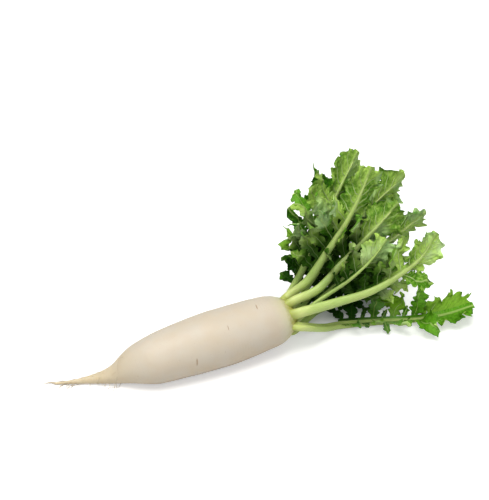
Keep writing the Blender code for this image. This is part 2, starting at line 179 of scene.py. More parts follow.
@dataclass
class Leaf:
    """One leaf: where it leaves the crown, the way it runs and the lobes that it carries."""

    name: str
    clock: float  # degrees round the crown, 0 towards -Y and 90 up
    inner: bool  # on the inner ring of stalks
    route: tuple  # points that the stalk and midrib pass, from under the crown
    facing: tuple  # the way the upper side of the blade looks
    stalk_width: float
    bare: float  # share of the leaf below the first lobes
    pairs: int
    lobe_length: float
    lobe_width: float
    fold: float  # degrees that each half of the blade rises
    tip_length: float
    tip_width: float
    seed: int


LEAVES = (
    Leaf("leaf_front_low", -4, False,
         ((0.040, -0.013, 0.0170), (0.067, -0.005, 0.0064), (0.105, -0.015, 0.0054), (0.148, -0.029, 0.0050),
          (0.183, -0.038, 0.0080), (0.209, -0.044, 0.015)),
         (0.1, 0.0, 1.0), 0.0122, 0.34, 4, 0.032, 0.018, 35, 0.046, 0.044, 2),
    Leaf("leaf_front_sweep", 41, False,
         ((0.052, -0.021, 0.056), (0.092, -0.027, 0.064), (0.128, -0.026, 0.076), (0.155, -0.022, 0.089),
          (0.172, -0.016, 0.106)),
         (0.1, 0.95, -0.1), 0.0124, 0.42, 4, 0.033, 0.018, 12, 0.042, 0.038, 4),
    Leaf("leaf_inner_front", 29, True,
         ((0.043, -0.010, 0.060), (0.069, -0.015, 0.078), (0.091, -0.016, 0.096), (0.111, -0.012, 0.113)),
         (0.1, 0.9, 0.1), 0.0060, 0.44, 3, 0.028, 0.015, 16, 0.034, 0.030, 29),
    Leaf("leaf_mid_arch", 83, False,
         ((0.037, -0.002, 0.066), (0.067, 0.003, 0.088), (0.100, 0.009, 0.110), (0.137, 0.017, 0.135)),
         (0.0, 1.0, 0.0), 0.0116, 0.38, 5, 0.048, 0.018, 14, 0.048, 0.044, 15),
    Leaf("leaf_high_arch", 124, False,
         ((0.029, 0.009, 0.073), (0.053, 0.011, 0.104), (0.081, 0.015, 0.141), (0.105, 0.021, 0.187)),
         (-0.1, 1.0, 0.0), 0.0116, 0.27, 6, 0.048, 0.018, 14, 0.048, 0.044, 15),
    Leaf("leaf_top", 163, False,
         ((0.030, 0.025, 0.077), (0.054, 0.036, 0.115), (0.082, 0.049, 0.151), (0.112, 0.067, 0.180)),
         (-0.1, 1.0, 0.1), 0.0094, 0.22, 6, 0.042, 0.018, 12, 0.046, 0.042, 2),
    Leaf("leaf_back_high", 201, False,
         ((0.030, 0.038, 0.054), (0.052, 0.060, 0.082), (0.078, 0.081, 0.106), (0.105, 0.100, 0.126)),
         (-0.2, -0.8, 0.5), 0.0090, 0.20, 6, 0.038, 0.017, 12, 0.046, 0.042, 16),
    Leaf("leaf_back_mid", 239, False,
         ((0.051, 0.036, 0.030), (0.097, 0.062, 0.036), (0.141, 0.080, 0.050), (0.177, 0.086, 0.078)),
         (0.1, -0.6, 0.8), 0.0090, 0.18, 6, 0.044, 0.019, 12, 0.048, 0.042, 2),
    Leaf("leaf_back_low", 277, False,
         ((0.047, 0.022, 0.012), (0.087, 0.034, 0.0050), (0.127, 0.044, 0.0062), (0.168, 0.046, 0.022)),
         (0.0, -0.35, 1.0), 0.0090, 0.34, 5, 0.036, 0.018, 26, 0.044, 0.036, 17),
    Leaf("leaf_inner_right", 299, True,
         ((0.057, 0.014, 0.044), (0.106, 0.030, 0.058), (0.153, 0.042, 0.072), (0.195, 0.050, 0.088)),
         (0.1, 0.95, 0.2), 0.0062, 0.22, 6, 0.044, 0.019, 14, 0.046, 0.042, 2),
    Leaf("leaf_inner_arch", 209, True,
         ((0.045, 0.030, 0.056), (0.091, 0.058, 0.068), (0.139, 0.082, 0.078), (0.184, 0.100, 0.088)),
         (0.0, -0.75, 0.6), 0.0062, 0.20, 6, 0.044, 0.019, 12, 0.046, 0.042, 15),
    Leaf("leaf_inner_back", 119, True,
         ((0.043, 0.020, 0.066), (0.084, 0.034, 0.098), (0.127, 0.048, 0.122), (0.169, 0.060, 0.140)),
         (0.0, 0.9, 0.2), 0.0062, 0.22, 7, 0.046, 0.018, 14, 0.046, 0.042, 15),
)


def catmull_rom(values, t):
    """The smooth curve through the values, numbers or vectors, at t from 0 to len(values) - 1."""
    last = len(values) - 1
    i = min(int(t), last - 1)
    u = t - i
    before = values[i - 1] if i > 0 else values[0] * 2 - values[1]
    after = values[i + 2] if i + 2 <= last else values[last] * 2 - values[last - 1]
    start, end = values[i], values[i + 1]
    return (
        start * 2
        + (end - before) * u
        + (before * 2 - start * 5 + end * 4 - after) * u * u
        + (start * 3 - before - end * 3 + after) * u**3
    ) * 0.5


def root_radius(distance):
    """Radius of the root at this distance back from the crown plate."""
    distances = [d for d, _ in ROOT_PROFILE]
    radii = [r for _, r in ROOT_PROFILE]
    for i in range(len(distances) - 1):
        if distance <= distances[i + 1]:
            share = (distance - distances[i]) / (distances[i + 1] - distances[i])
            return catmull_rom(radii, i + max(0.0, share))
    return radii[-1]


def root_centre(distance):
    """Point of the root's centreline at this distance back from the crown plate."""
    x = CROWN_X - distance
    tail = max(0.0, (distance - TAIL_START) / TAIL_LENGTH)
    if x > 0:
        height = WIDEST_RADIUS - FLAT_DEPTH + SHOULDER_SLOPE * x
    else:
        height = root_radius(distance) - FLAT_DEPTH + TAIL_LIFT * tail
    return Vector((x, TAIL_SWING * tail**1.1, height))


class Midline:
    """The line that a stalk and its midrib follow, with the frame of the blade along it."""

    def __init__(self, points, facing):
        self.facing = Vector(facing).normalized()
        last = len(points) - 1
        self.points = [catmull_rom(points, last * i / ROUTE_SAMPLES) for i in range(ROUTE_SAMPLES + 1)]
        self.runs = [0.0]
        for a, b in zip(self.points, self.points[1:]):
            self.runs.append(self.runs[-1] + (b - a).length)
        self.length = self.runs[-1]

    def at(self, share):
        """(point, tangent, upward normal, sideways) at this share. It runs straight on past its ends."""
        run = share * self.length
        inside = min(max(run, 0.0), self.length)
        i = min(bisect_right(self.runs, inside), ROUTE_SAMPLES) - 1
        a, b = self.points[i], self.points[i + 1]
        part = (inside - self.runs[i]) / (self.runs[i + 1] - self.runs[i])
        before, after = self.points[max(i - 2, 0)], self.points[min(i + 3, ROUTE_SAMPLES)]
        tangent = (after - before).normalized()
        point = a.lerp(b, part) + tangent * (run - inside)
        normal = (self.facing - tangent * self.facing.dot(tangent)).normalized()
        return point, tangent, normal, tangent.cross(normal)


def midline_of(leaf):
    """The midline of a leaf, from its foot in the crown."""
    ring = INNER_RING if leaf.inner else OUTER_RING
    splay = math.radians(INNER_SPLAY if leaf.inner else OUTER_SPLAY)
    clock = math.radians(leaf.clock)
    outwards = Vector((0, -math.cos(clock), math.sin(clock)))
    base = root_centre(STALK_SINK) + outwards * ring
    neck = base + (Vector((math.cos(splay), 0, 0)) + outwards * math.sin(splay)) * NECK_LENGTH
    route = [Vector((CROWN_X + x, y, z)) for x, y, z in leaf.route]
    return Midline([base, neck, *route], leaf.facing)


def stalk_width(leaf, share):
    """Width of the stalk and midrib: full at the crown, bold at the middle of the leaf, thin at its tip."""
    run = min(max(share, 0.0) / RIB_END, 1.0)
    return leaf.stalk_width + (RIB_TIP_WIDTH - leaf.stalk_width) * run**STALK_TAPER


def blade_lift(width):
    """How far the middle of the blade stands over the midline of a midrib of this width."""
    return width * STALK_DEPTH / 2 * math.cos(math.pi / STALK_SIDES) + BLADE_GAP + SOLID_THICKNESS / 2


def web_edge(leaf, midline, share, side):
    """Edge of the narrow wing that the blade has along its midrib."""
    point, _, normal, sideways = midline.at(share)
    width = stalk_width(leaf, share)
    return point + normal * blade_lift(width) + sideways * (side * (width / 2 + WING))


@dataclass
class Lobe:
    """One side lobe of a blade. Its grid runs across from 0 to 1 towards the leaf's tip, and along to 1."""

    centre: float  # share of the midline
    foot: float  # half of its foot, in shares of the midline
    side: int
    length: float
    width: float
    lean: float  # angle from the midline
    rise: float  # angle up from flat
    curl: float
    twist: float
    wave: float
    phase: float

    columns = LOBE_COLUMNS
    rows = LOBE_ROWS

    def bent(self, angle, scale):
        """The lobe, turned about its foot and made smaller."""
        return replace(self, rise=self.rise + angle, length=self.length * scale, width=self.width * scale)

    def axes(self, leaf, midline):
        """(start, along it, across it, out of its upper side)."""
        start = web_edge(leaf, midline, self.centre, self.side)
        _, tangent, normal, sideways = midline.at(self.centre)
        outwards = sideways * self.side
        raised = outwards * math.cos(self.rise) + normal * math.sin(self.rise)
        up = normal * math.cos(self.rise) - outwards * math.sin(self.rise)
        forwards = tangent * math.cos(self.lean) + raised * math.sin(self.lean)
        broad = tangent * math.sin(self.lean) - raised * math.cos(self.lean)
        return start, forwards, broad, up

    def point(self, leaf, midline, across, along):
        """The point of the lobe's grid here."""
        if along < 1e-9:
            return web_edge(leaf, midline, self.centre + (2 * across - 1) * self.foot, self.side)
        start, forwards, broad, up = self.axes(leaf, midline)
        half = self.width / 2 * lobe_outline(along) * (2 * across - 1)
        bow = LOBE_BOW * self.length * along * along
        edge = abs(2 * across - 1) ** 1.5
        turn = LOBE_WAVES * along + self.phase + 0.25 * (across > 0.5)
        ripple = self.wave * edge * math.sin(math.tau * turn)
        twisted = half * math.tan(self.twist) * min(1.0, along * 2)
        lift = self.curl * self.length * along**2 + twisted + ripple
        return start + forwards * (self.length * along) + broad * (half + bow) + up * lift


@dataclass
class TipHalf:
    """Half of the broad end lobe. Its grid runs across from 0 at the midrib to 1, and along to the tip."""

    start: float  # share of the midline
    side: int
    width: float
    rise: float
    droop: float
    phase: float

    columns = TIP_COLUMNS
    rows = TIP_ROWS

    def bent(self, angle, scale):
        """The half, turned about the midrib and made narrower."""
        return replace(self, rise=self.rise + angle, width=self.width * scale)

    def point(self, leaf, midline, across, along):
        """The point of the half's grid here."""
        share = self.start + (1 - self.start) * along
        edge = web_edge(leaf, midline, share, self.side)
        if across < 1e-9:
            return edge
        _, tangent, normal, sideways = midline.at(share)
        lean = math.radians(TIP_LEAN - TIP_CLOSING * along)
        raised = sideways * self.side * math.cos(self.rise) + normal * math.sin(self.rise)
        half = self.width * tip_outline(along) * across
        ripple = TIP_WAVE * across**1.5 * math.sin(math.tau * (TIP_WAVES * along + self.phase))
        lift = ripple + self.droop * half * across
        return edge + (tangent * math.cos(lean) + raised * math.sin(lean)) * half + normal * lift


def lobe_outline(along):
    """Half width of a side lobe, as a share of its widest, with blunt teeth down both edges."""
    body = math.sin(math.pi * (0.10 + 0.84 * along) ** 1.12) ** 0.6
    return body * (1 - LOBE_TOOTH_DEPTH * math.cos(math.tau * LOBE_TEETH * along))


def tip_outline(along):
    """Half width of the end lobe, as a share of its widest, with blunt teeth down its edge."""
    body = math.sin(math.pi * (0.07 + 0.86 * along)) ** 0.75
    return body * (1 - TIP_TOOTH_DEPTH * math.cos(math.tau * TIP_TEETH * along))


def lobed_span(leaf, length):
    """Shares of the leaf at which the end lobe starts, and between which the side lobes stand."""
    tip_start = 1 - leaf.tip_length / length
    return tip_start, leaf.bare + BARE_MARGIN, tip_start - BARE_MARGIN


def wanted_lobes(leaf, length):
    """The lobes of a leaf before they are bent clear: the end lobe's halves, then pairs from it down."""
    draw = random.Random(leaf.seed)
    tip_start, first, last = lobed_span(leaf, length)
    lobes = [
        TipHalf(
            start=tip_start,
            side=side,
            width=leaf.tip_width / 2 * draw.uniform(0.9, 1.1),
            rise=math.radians(leaf.fold * TIP_FOLD_SHARE),
            droop=draw.uniform(-0.25, 0.05),
            phase=draw.uniform(0, 1),
        )
        for side in (-1, 1)
    ]
    for pair in reversed(range(leaf.pairs)):
        along = (pair + 0.5) / leaf.pairs
        centre = first + (last - first) * (along + draw.uniform(-0.02, 0.02))
        for side in (-1, 1):
            lobes.append(
                Lobe(
                    centre=centre,
                    foot=leaf.lobe_width * LOBE_FOOT / length,
                    side=side,
                    length=leaf.lobe_length * (0.42 + 0.62 * along) * draw.uniform(0.86, 1.1),
                    width=leaf.lobe_width * (0.66 + 0.38 * along) * draw.uniform(0.9, 1.08),
                    lean=math.radians(76 - 16 * along + draw.uniform(-LOBE_SWING, LOBE_SWING)),
                    rise=math.radians(leaf.fold + draw.uniform(-LOBE_TILT, LOBE_TILT)),
                    curl=draw.uniform(-0.40, 0.20),
                    twist=math.radians(draw.uniform(2, 18)),
                    wave=draw.uniform(0.0018, 0.0038),
                    phase=draw.uniform(0, 1),
                )
            )
    return lobes


def wanted_leaflets(leaf, length):
    """Small leaflets that stand between the main lobes of a leaf, and a few below the lowest."""
    draw = random.Random(leaf.seed + 100)
    _, first, last = lobed_span(leaf, length)
    leaflets = []
    for gap in range(leaf.pairs + 1):
        along = gap / leaf.pairs
        for side in (-1, 1):
            size = draw.uniform(0.55, 1.05) * (0.6 + 0.4 * along)
            leaflets.append(
                Lobe(
                    centre=first + (last - first) * along,
                    foot=LEAFLET_WIDTH * LOBE_FOOT / length,
                    side=side,
                    length=LEAFLET_LENGTH * size,
                    width=LEAFLET_WIDTH * size,
                    lean=math.radians(74 + draw.uniform(-16, 16)),
                    rise=math.radians(leaf.fold + draw.uniform(-34, 34)),
                    curl=draw.uniform(-0.5, 0.3),
                    twist=math.radians(draw.uniform(-20, 20)),
                    wave=draw.uniform(0.0008, 0.0016),
                    phase=draw.uniform(0, 1),
                )
            )
    return leaflets


class Patch:
    """A surface that is in place or tried: its points, its tree of faces and its box."""

    def __init__(self, owner, points, faces, wing=False):
        self.owner = owner
        self.wing = wing
        self.points = points
        self.tree = BVHTree.FromPolygons(points, faces)
        self.low = [min(p[axis] for p in points) for axis in range(3)]
        self.high = [max(p[axis] for p in points) for axis in range(3)]

    def near(self, other):
        """Whether the two boxes come within the clearance."""
        gaps = [max(self.low[i] - other.high[i], other.low[i] - self.high[i]) for i in range(3)]
        return max(gaps) < CLEARANCE

    def touches(self, other):
        """Whether it crosses the other patch or, where the owners differ, comes within the clearance of it.

        A lobe is joined to the wing of its own leaf, so these two are let be.
        """
        if not self.near(other) or (other.wing and self.owner == other.owner):
            return False
        if self.tree.overlap(other.tree):
            return True
        if self.owner == other.owner:
            return False
        found = [other.tree.find_nearest(p, CLEARANCE)[0] for p in self.points]
        found += [self.tree.find_nearest(p, CLEARANCE)[0] for p in other.points]
        return any(place is not None for place in found)


def grid_patch(owner, columns, rows, place, wing=False):
    """A patch from the rule that places the points of its grid."""
    points = [place(i / columns, j / rows) for j in range(rows + 1) for i in range(columns + 1)]
    corners = [j * (columns + 1) + i for j in range(rows) for i in range(columns)]
    return Patch(owner, points, [(c, c + 1, c + columns + 2, c + columns + 1) for c in corners], wing)


def root_patch():
    """The root's skin."""
    first, last = ROOT_PROFILE[0][0], ROOT_PROFILE[-1][0]

    def place(around, along):
        distance = first + (last - first) * along
        angle = math.tau * around
        outwards = Vector((0, math.cos(angle), math.sin(angle)))
        return root_centre(distance) + outwards * root_radius(distance)

    return grid_patch("root", ROOT_SIDES, ROOT_RINGS, place)


def stalk_shares(midline):
    """Where all the rings of a stalk stand: close together in its neck, at even steps past it."""
    neck = [i * NECK_STEP / midline.length for i in range(NECK_RINGS + 1)]
    return neck + [neck[-1] + (RIB_END - neck[-1]) * (i + 1) / STALK_RINGS for i in range(STALK_RINGS)]


def stalk_patch(leaf, midline):
    """A stalk with its midrib."""
    shares = stalk_shares(midline)

    def place(around, along):
        share = shares[round(along * (len(shares) - 1))]
        point, _, normal, sideways = midline.at(share)
        width = stalk_width(leaf, share)
        angle = math.tau * (around + 0.5 / STALK_SIDES)
        depth = width * STALK_DEPTH
        return point + sideways * (math.cos(angle) * width / 2) + normal * (math.sin(angle) * depth / 2)

    return grid_patch(leaf.name, STALK_SIDES, len(shares) - 1, place)


def wing_patch(leaf, midline):
    """The strip of blade along the midrib."""

    def place(across, along):
        return web_edge(leaf, midline, leaf.bare + (1 - leaf.bare) * along, 2 * round(across) - 1)

    return grid_patch(leaf.name, 1, STALK_RINGS, place, wing=True)


def lobe_patch(leaf, midline, lobe):
    """A lobe, as coarse as in the solids."""
    return grid_patch(leaf.name, lobe.columns, lobe.rows, lambda u, v: lobe.point(leaf, midline, u, v))


def bend_clear(leaves, midlines, in_place, wanted):
    """The lobes of each leaf, turned about their feet or made smaller until they clear all that is in place.

    A lobe that has no room at all is left out.
    """
    grown = {}
    for leaf in leaves:
        midline = midlines[leaf.name]
        grown[leaf.name] = []
        for lobe in wanted(leaf, midline.length):
            for scale, angle in ((s, a) for s in SCALES for a in BENDS):
                bent = lobe.bent(math.radians(angle), scale)
                if not LOWEST_RISE < math.degrees(bent.rise) < STEEPEST:
                    continue
                patch = lobe_patch(leaf, midline, bent)
                if patch.low[2] > LOWEST_BLADE and not any(patch.touches(other) for other in in_place):
                    patch.owner = "lobe"
                    in_place.append(patch)
                    grown[leaf.name].append(bent)
                    break
    return grown


def smooth(values, low=0.0, high=1.0):
    """A smooth step from 0 at low to 1 at high."""
    share = np.clip((np.asarray(values, float) - low) / (high - low), 0, 1)
    return share * share * (3 - 2 * share)


def unit(vectors):
    """The vectors at length 1."""
    return vectors / np.maximum(np.linalg.norm(vectors, axis=-1, keepdims=True), 1e-12)


def circles(first, second, angles):
    """A unit circle for each pair of axes, at these angles from the first axis towards the second."""
    return first[:, None] * np.cos(angles)[None, :, None] + second[:, None] * np.sin(angles)[None, :, None]


def in_cm(across, along):
    """Places on a piece, in cm, from two measures in metres that are spread over one grid."""
    return np.stack(np.broadcast_arrays(across, along), axis=-1) * 100


def frame_at(midline, share):
    """The point, tangent, upward normal and sideways of a midline at this share, as arrays."""
    return [np.array(vector) for vector in midline.at(float(share))]


def noise_at(points, scale, offset=0.0):
    """Smooth noise from about -1 to 1 at each point."""
    flat = np.asarray(points, float).reshape(-1, 3) * scale + offset
    return np.array([noise.noise(p) for p in flat]).reshape(np.shape(points)[:-1])


def crumpled(points, weights):
    """The points, carried off by the crumples as far as the weights say."""
    flat = points.reshape(-1, 3)
    moves = 0
    for size, reach in CRUMPLES:
        moves = moves + np.array([noise.noise_vector(p * size) for p in flat]) * reach
    return points + moves.reshape(points.shape) * np.broadcast_to(weights, points.shape[:-1])[..., None]


class CrowdShade:
    """How closely the blades stand round and over a point, from 0 to 1. Little light comes between them, so
    this sets the shade that is painted there.
    """

    def __init__(self, midlines, lobes):
        points = []
        for leaf in LEAVES:
            for lobe in lobes[leaf.name]:
                for along in CROWD_STATIONS:
                    for across in (0.0, 1.0) if isinstance(lobe, TipHalf) else (-1.0, 0.0, 1.0):
                        points.append(lobe.point(leaf, midlines[leaf.name], across, along))
        points = np.array(points)
        self.low = points.min(axis=0) - CROWD_CELL
        self.shape = np.ceil((points.max(axis=0) - self.low) / CROWD_CELL).astype(int) + 2
        cells = self.low + np.indices(self.shape).reshape(3, -1).T * CROWD_CELL
        cells = cells + (0, 0, CROWD_ABOVE)
        crowd = np.zeros(len(cells))
        for point in points:
            crowd += np.exp(((cells - point) ** 2).sum(axis=1) / (-2 * CROWD_REACH**2))
        self.crowd = (crowd / np.percentile(crowd, CROWD_FULL)).clip(0, 1).reshape(self.shape)

    def at(self, points):
        """How crowded each point is, blended from the eight cells round it."""
        place = ((points - self.low) / CROWD_CELL).clip(0, self.shape - 1.001)
        corner = place.astype(int)
        part = place - corner
        total = 0
        for step in np.ndindex(2, 2, 2):
            share = np.where(step, part, 1 - part).prod(axis=1)
            total = total + share * self.crowd[tuple((corner + step).T)]
        return total

    def mark(self, mesh):
        """Writes on each point of a mesh how crowded it is, the mask of its painted shade."""
        points = np.empty(len(mesh.vertices) * 3)
        mesh.vertices.foreach_get("co", points)
        set_values(mesh, "crowd_shade", self.at(points.reshape(-1, 3)))


def set_values(mesh, name, values):
    """Writes one number on each point of a mesh."""
    mesh.attributes.new(name, "FLOAT", "POINT").data.foreach_set("value", values)


class Surface:
    """Grids and tubes that grow together into one mesh, each point with a place on the piece and a tint."""

    def __init__(self):
        self.points, self.faces, self.places, self.tints, self.finishes = [], [], [], [], []
        self.count = 0

    def add_grid(self, points, places, tint, up=None, finish=0):
        """Adds a grid, rows by columns of points. Its faces look along up, where that is given."""
        rows, columns = shape = points.shape[:2]
        index = np.arange(rows * columns).reshape(shape) + self.count
        corners = [index[:-1, :-1], index[1:, :-1], index[1:, 1:], index[:-1, 1:]]
        faces = np.stack(corners, axis=-1).reshape(-1, 4)
        if up is not None:
            normals = np.cross(points[1:, :-1] - points[:-1, :-1], points[:-1, 1:] - points[:-1, :-1])
            if (normals.sum(axis=(0, 1)) * up).sum() < 0:
                faces = faces[:, ::-1]
        self.points.append(points.reshape(-1, 3))
        self.faces += faces.tolist()
        self.finishes += [finish] * len(faces)
        self.places.append(np.broadcast_to(places, (*shape, 2)).reshape(-1, 2))
        self.tints.append(np.broadcast_to(tint, shape).ravel())
        self.count += rows * columns

    def add_end(self, ring, middle, places, tint):
        """Closes an end with faces from its ring to a middle point."""
        fan = np.stack([ring, np.repeat(middle[None], len(ring), axis=0)])
        self.add_grid(fan, np.stack([places] * 2), tint)

    def add_tube(self, points, radii, sides, tint, reference, finish=0):
        """Adds a tube along the points, with round ends. Its sections start square to the reference."""
        points = np.asarray(points, float)
        tangents = unit(np.gradient(points, axis=0))
        side = unit(np.cross(tangents, reference))
        angles = np.linspace(0, math.tau, sides + 1)
        outwards = circles(side, np.cross(side, tangents), angles)
        rings = points[:, None] + outwards * np.asarray(radii)[:, None, None]
        ends = [points[i] + tangents[i] * radii[i] * way for i, way in ((0, -0.5), (-1, 0.5))]
        ends = [np.repeat(end[None, None], sides + 1, axis=1) for end in ends]
        runs = np.cumsum(np.linalg.norm(np.diff(points, axis=0), axis=1))
        runs = np.concatenate([[0, 0], runs, [runs[-1]]])
        places = in_cm(angles[None] * np.mean(radii), runs[:, None])
        self.add_grid(np.concatenate([ends[0], rings, ends[1]]), places, tint, finish=finish)

    def mesh(self, name, closed=False):
        """One welded mesh of all that was added, with places as a UV map and tints on its points."""
        mesh = bpy.data.meshes.new(name)
        mesh.from_pydata(np.concatenate(self.points).tolist(), [], self.faces)
        mesh.polygons.foreach_set("material_index", self.finishes)
        corners = np.empty(len(mesh.loops), int)
        mesh.loops.foreach_get("vertex_index", corners)
        places = np.concatenate(self.places)[corners]
        mesh.uv_layers.new(name="place").uv.foreach_set("vector", places.ravel())
        set_values(mesh, "tint", np.concatenate(self.tints))
        bm = bmesh.new()
        bm.from_mesh(mesh)
        bmesh.ops.remove_doubles(bm, verts=bm.verts, dist=WELD)
        bmesh.ops.dissolve_degenerate(bm, edges=bm.edges, dist=SHORTEST_EDGE)
        if closed:
            bmesh.ops.recalc_face_normals(bm, faces=bm.faces)
        bm.to_mesh(mesh)
        bm.free()
        mesh.shade_smooth()
        return mesh


def shown(name, mesh, slot, finishes, *nodes):
    """The object of a mesh, with its finishes. It rides on the radish and stands for the solid nodes."""
    piece = bpy.data.objects.new(name, mesh)
    bpy.context.scene.collection.objects.link(piece)
    for finish in finishes:
        mesh.materials.append(finish)
    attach(piece, "root")
    if nodes:
        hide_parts(*nodes)
    return piece


# Root

SKIN_SCARS = (
    # (distance back from the crown, degrees round from the top towards the front, width, depth)
    (0.1205, 83, 0.0100, 0.00085),
    (0.0373, 7, 0.0080, 0.00040),
    (0.0780, 34, 0.0070, 0.00034),
)
SCAR_RANKS = (62, 242)  # degrees round from the top
SCARS_A_RANK = 13
SCAR_SPAN = (0.030, 0.165)  # start and length of a rank
SCAR_SCATTER = 13
SCAR_WIDTHS = (0.0018, 0.0052)
SCAR_DEPTHS = (0.00012, 0.00030)
DARK_SCAR = 0.0004  # a scar this deep has its full colour
SLIT = (0.00035, 0.06)  # half length along the root: its least, and its growth with the scar's width
LIPS = 0.0021
EASING = 0.0042
EASING_STEPS = 1400
EASED_SPAN = (0.018, 0.034, 0.238, 0.254)  # from the first two to the last two
SKIN_ROUND = 0.20  # the skin's places run this far round it, thick or thin
SKIN_SWELL = 0.00055
SKIN_RINGLETS = 0.00010
TAIL_RINGLETS = 0.00018
TAIL_SKIN = (0.163, 0.228)
COLLAR_HEIGHT = 0.0016
COLLAR_WIDTH = 0.0016
WRINKLE = 0.00022
REST_EASE = 0.0004


def skin_scars():
    """Short cross slits in the skin where side roots grew: a few listed, and two ranks down the root."""
    draw = random.Random(7)
    scars = list(SKIN_SCARS)
    start, length = SCAR_SPAN
    for rank in SCAR_RANKS:
        for i in range(SCARS_A_RANK):
            distance = start + length * (i + draw.uniform(0.1, 0.9)) / SCARS_A_RANK
            degrees = rank + draw.gauss(0, SCAR_SCATTER)
            scars.append((distance, degrees, draw.uniform(*SCAR_WIDTHS), draw.uniform(*SCAR_DEPTHS)))
    return scars


def eased(distances, values):
    """The values along the root with their corners rounded off, except at the crown and at the tail's tip."""
    steps = np.linspace(distances[0], distances[-1], EASING_STEPS)
    reach = round(3 * EASING / (steps[1] - steps[0]))
    weights = np.exp(-np.linspace(-3, 3, 2 * reach + 1) ** 2 / 2)
    weights /= weights.sum()
    even = np.stack([np.interp(steps, distances, column) for column in values.T], axis=-1)
    padded = np.pad(even, ((reach, reach), (0, 0)), mode="edge")
    flowing = np.stack([np.convolve(column, weights, "valid") for column in padded.T], axis=-1)
    share = (smooth(steps, *EASED_SPAN[:2]) * (1 - smooth(steps, *EASED_SPAN[2:])))[:, None]
    even = even * (1 - share) + flowing * share
    return np.stack([np.interp(distances, steps, column) for column in even.T], axis=-1)


def root_skin_mesh(midlines):
    """The skin, with fine rings, scars and a collar round each stalk. Its tint says where the scars are."""
    first, last = ROOT_PROFILE[0][0], ROOT_PROFILE[-1][0]
    steps = np.linspace(0, 1, SKIN_RINGS)
    distances = first + (last - first) * (0.35 * steps**1.8 + 0.65 * steps)
    angles = np.linspace(0, math.tau, SKIN_SIDES + 1)  # from the top towards the front
    centres = eased(distances, np.array([root_centre(d) for d in distances]))
    radii = eased(distances, np.array([[root_radius(d)] for d in distances]))
    tangents = unit(np.gradient(centres, axis=0))
    fronts = unit(np.cross((0, 0, 1), tangents))
    outwards = circles(unit(np.cross(tangents, fronts)), fronts, angles)
    base = centres[:, None] + outwards * radii[..., None]

    far = distances[:, None]
    body = smooth(far, 0.0, 0.03)
    tail = smooth(far, *TAIL_SKIN)
    swell = SKIN_SWELL * (noise_at(base, 26) + 0.35 * noise_at(base, 70, 5.0)) * body * (1 - 0.6 * tail)
    drift = noise_at(base, 30, 9.0)
    ringed = smooth(noise_at(base * (1, 0.4, 0.4), 55, 3.0), -0.1, 0.5) * (1 - tail) * body
    rings = SKIN_RINGLETS * np.sin(far * 1900 + drift * 5) * ringed
    rings += TAIL_RINGLETS * np.sin(far * 2300 + drift * 4) * tail * (1 - smooth(far, 0.25, 0.27))
    scar, cuts = np.zeros_like(swell), np.zeros_like(swell)
    for distance, degrees, width, depth in skin_scars():
        around = (angles[None] - math.radians(degrees) + math.pi) % math.tau - math.pi
        across = around * np.maximum(radii, 0.004)
        lengthwise = far - distance - 0.12 * across
        slit = np.exp(-((lengthwise / (SLIT[0] + width * SLIT[1])) ** 2) - (across / (width / 2)) ** 4)
        lips = np.exp(-((lengthwise / LIPS) ** 2) - (across / (width * 0.7)) ** 2)
        cuts += depth * (0.45 * lips - 1.25 * slit)
        scar = np.maximum(scar, slit * min(1.0, depth / DARK_SCAR))
    points = base + outwards * (swell + rings + cuts)[..., None]

    # The crown rises a little round the foot of each stalk, and is finely wrinkled there
    collar = np.zeros_like(swell)
    for leaf in LEAVES:
        foot, tangent, _, _ = frame_at(midlines[leaf.name], 0.0)
        away = points - foot
        away -= (away @ tangent)[..., None] * tangent
        gap = np.maximum(0, np.linalg.norm(away, axis=-1) - leaf.stalk_width / 2)
        collar = np.maximum(collar, COLLAR_HEIGHT * np.exp(-((gap / COLLAR_WIDTH) ** 2)))
    points[..., 0] += collar * (1 - smooth(far, 0.004, 0.012))
    wrinkle = WRINKLE * noise_at(points * (0.6, 1, 1), 420, 2.0) * (1 - smooth(far, 0.002, 0.016))
    points += outwards * wrinkle[..., None]

    # It rests on its flat spot
    height = points[..., 2]
    points[..., 2] = np.where(height < REST_EASE, REST_EASE * np.exp(height / REST_EASE - 1), height)

    surface = Surface()
    places = in_cm(angles[None] / math.tau * SKIN_ROUND, far)
    surface.add_grid(points, places, scar)
    for row, way in ((0, -0.25), (-1, 0.25)):
        middle = points[row, :-1].mean(axis=0) + tangents[row] * radii[row] * way
        surface.add_end(points[row], middle, places[row], scar[row])
    return surface.mesh("root_skin", closed=True)


ROOTLETS = 64
ROOTLET_POINTS = 22
ROOTLET_SPAN = (0.178, 0.078)  # start and length, back from the crown
ROOTLET_LENGTHS = (0.010, 0.034)
ROOTLET_RADII = (0.00014, 0.00030)
ROOTLET_FALL = Vector((0, 0, -0.16))
THREAD_POINTS = 16
THREAD_RADIUS = 0.00108


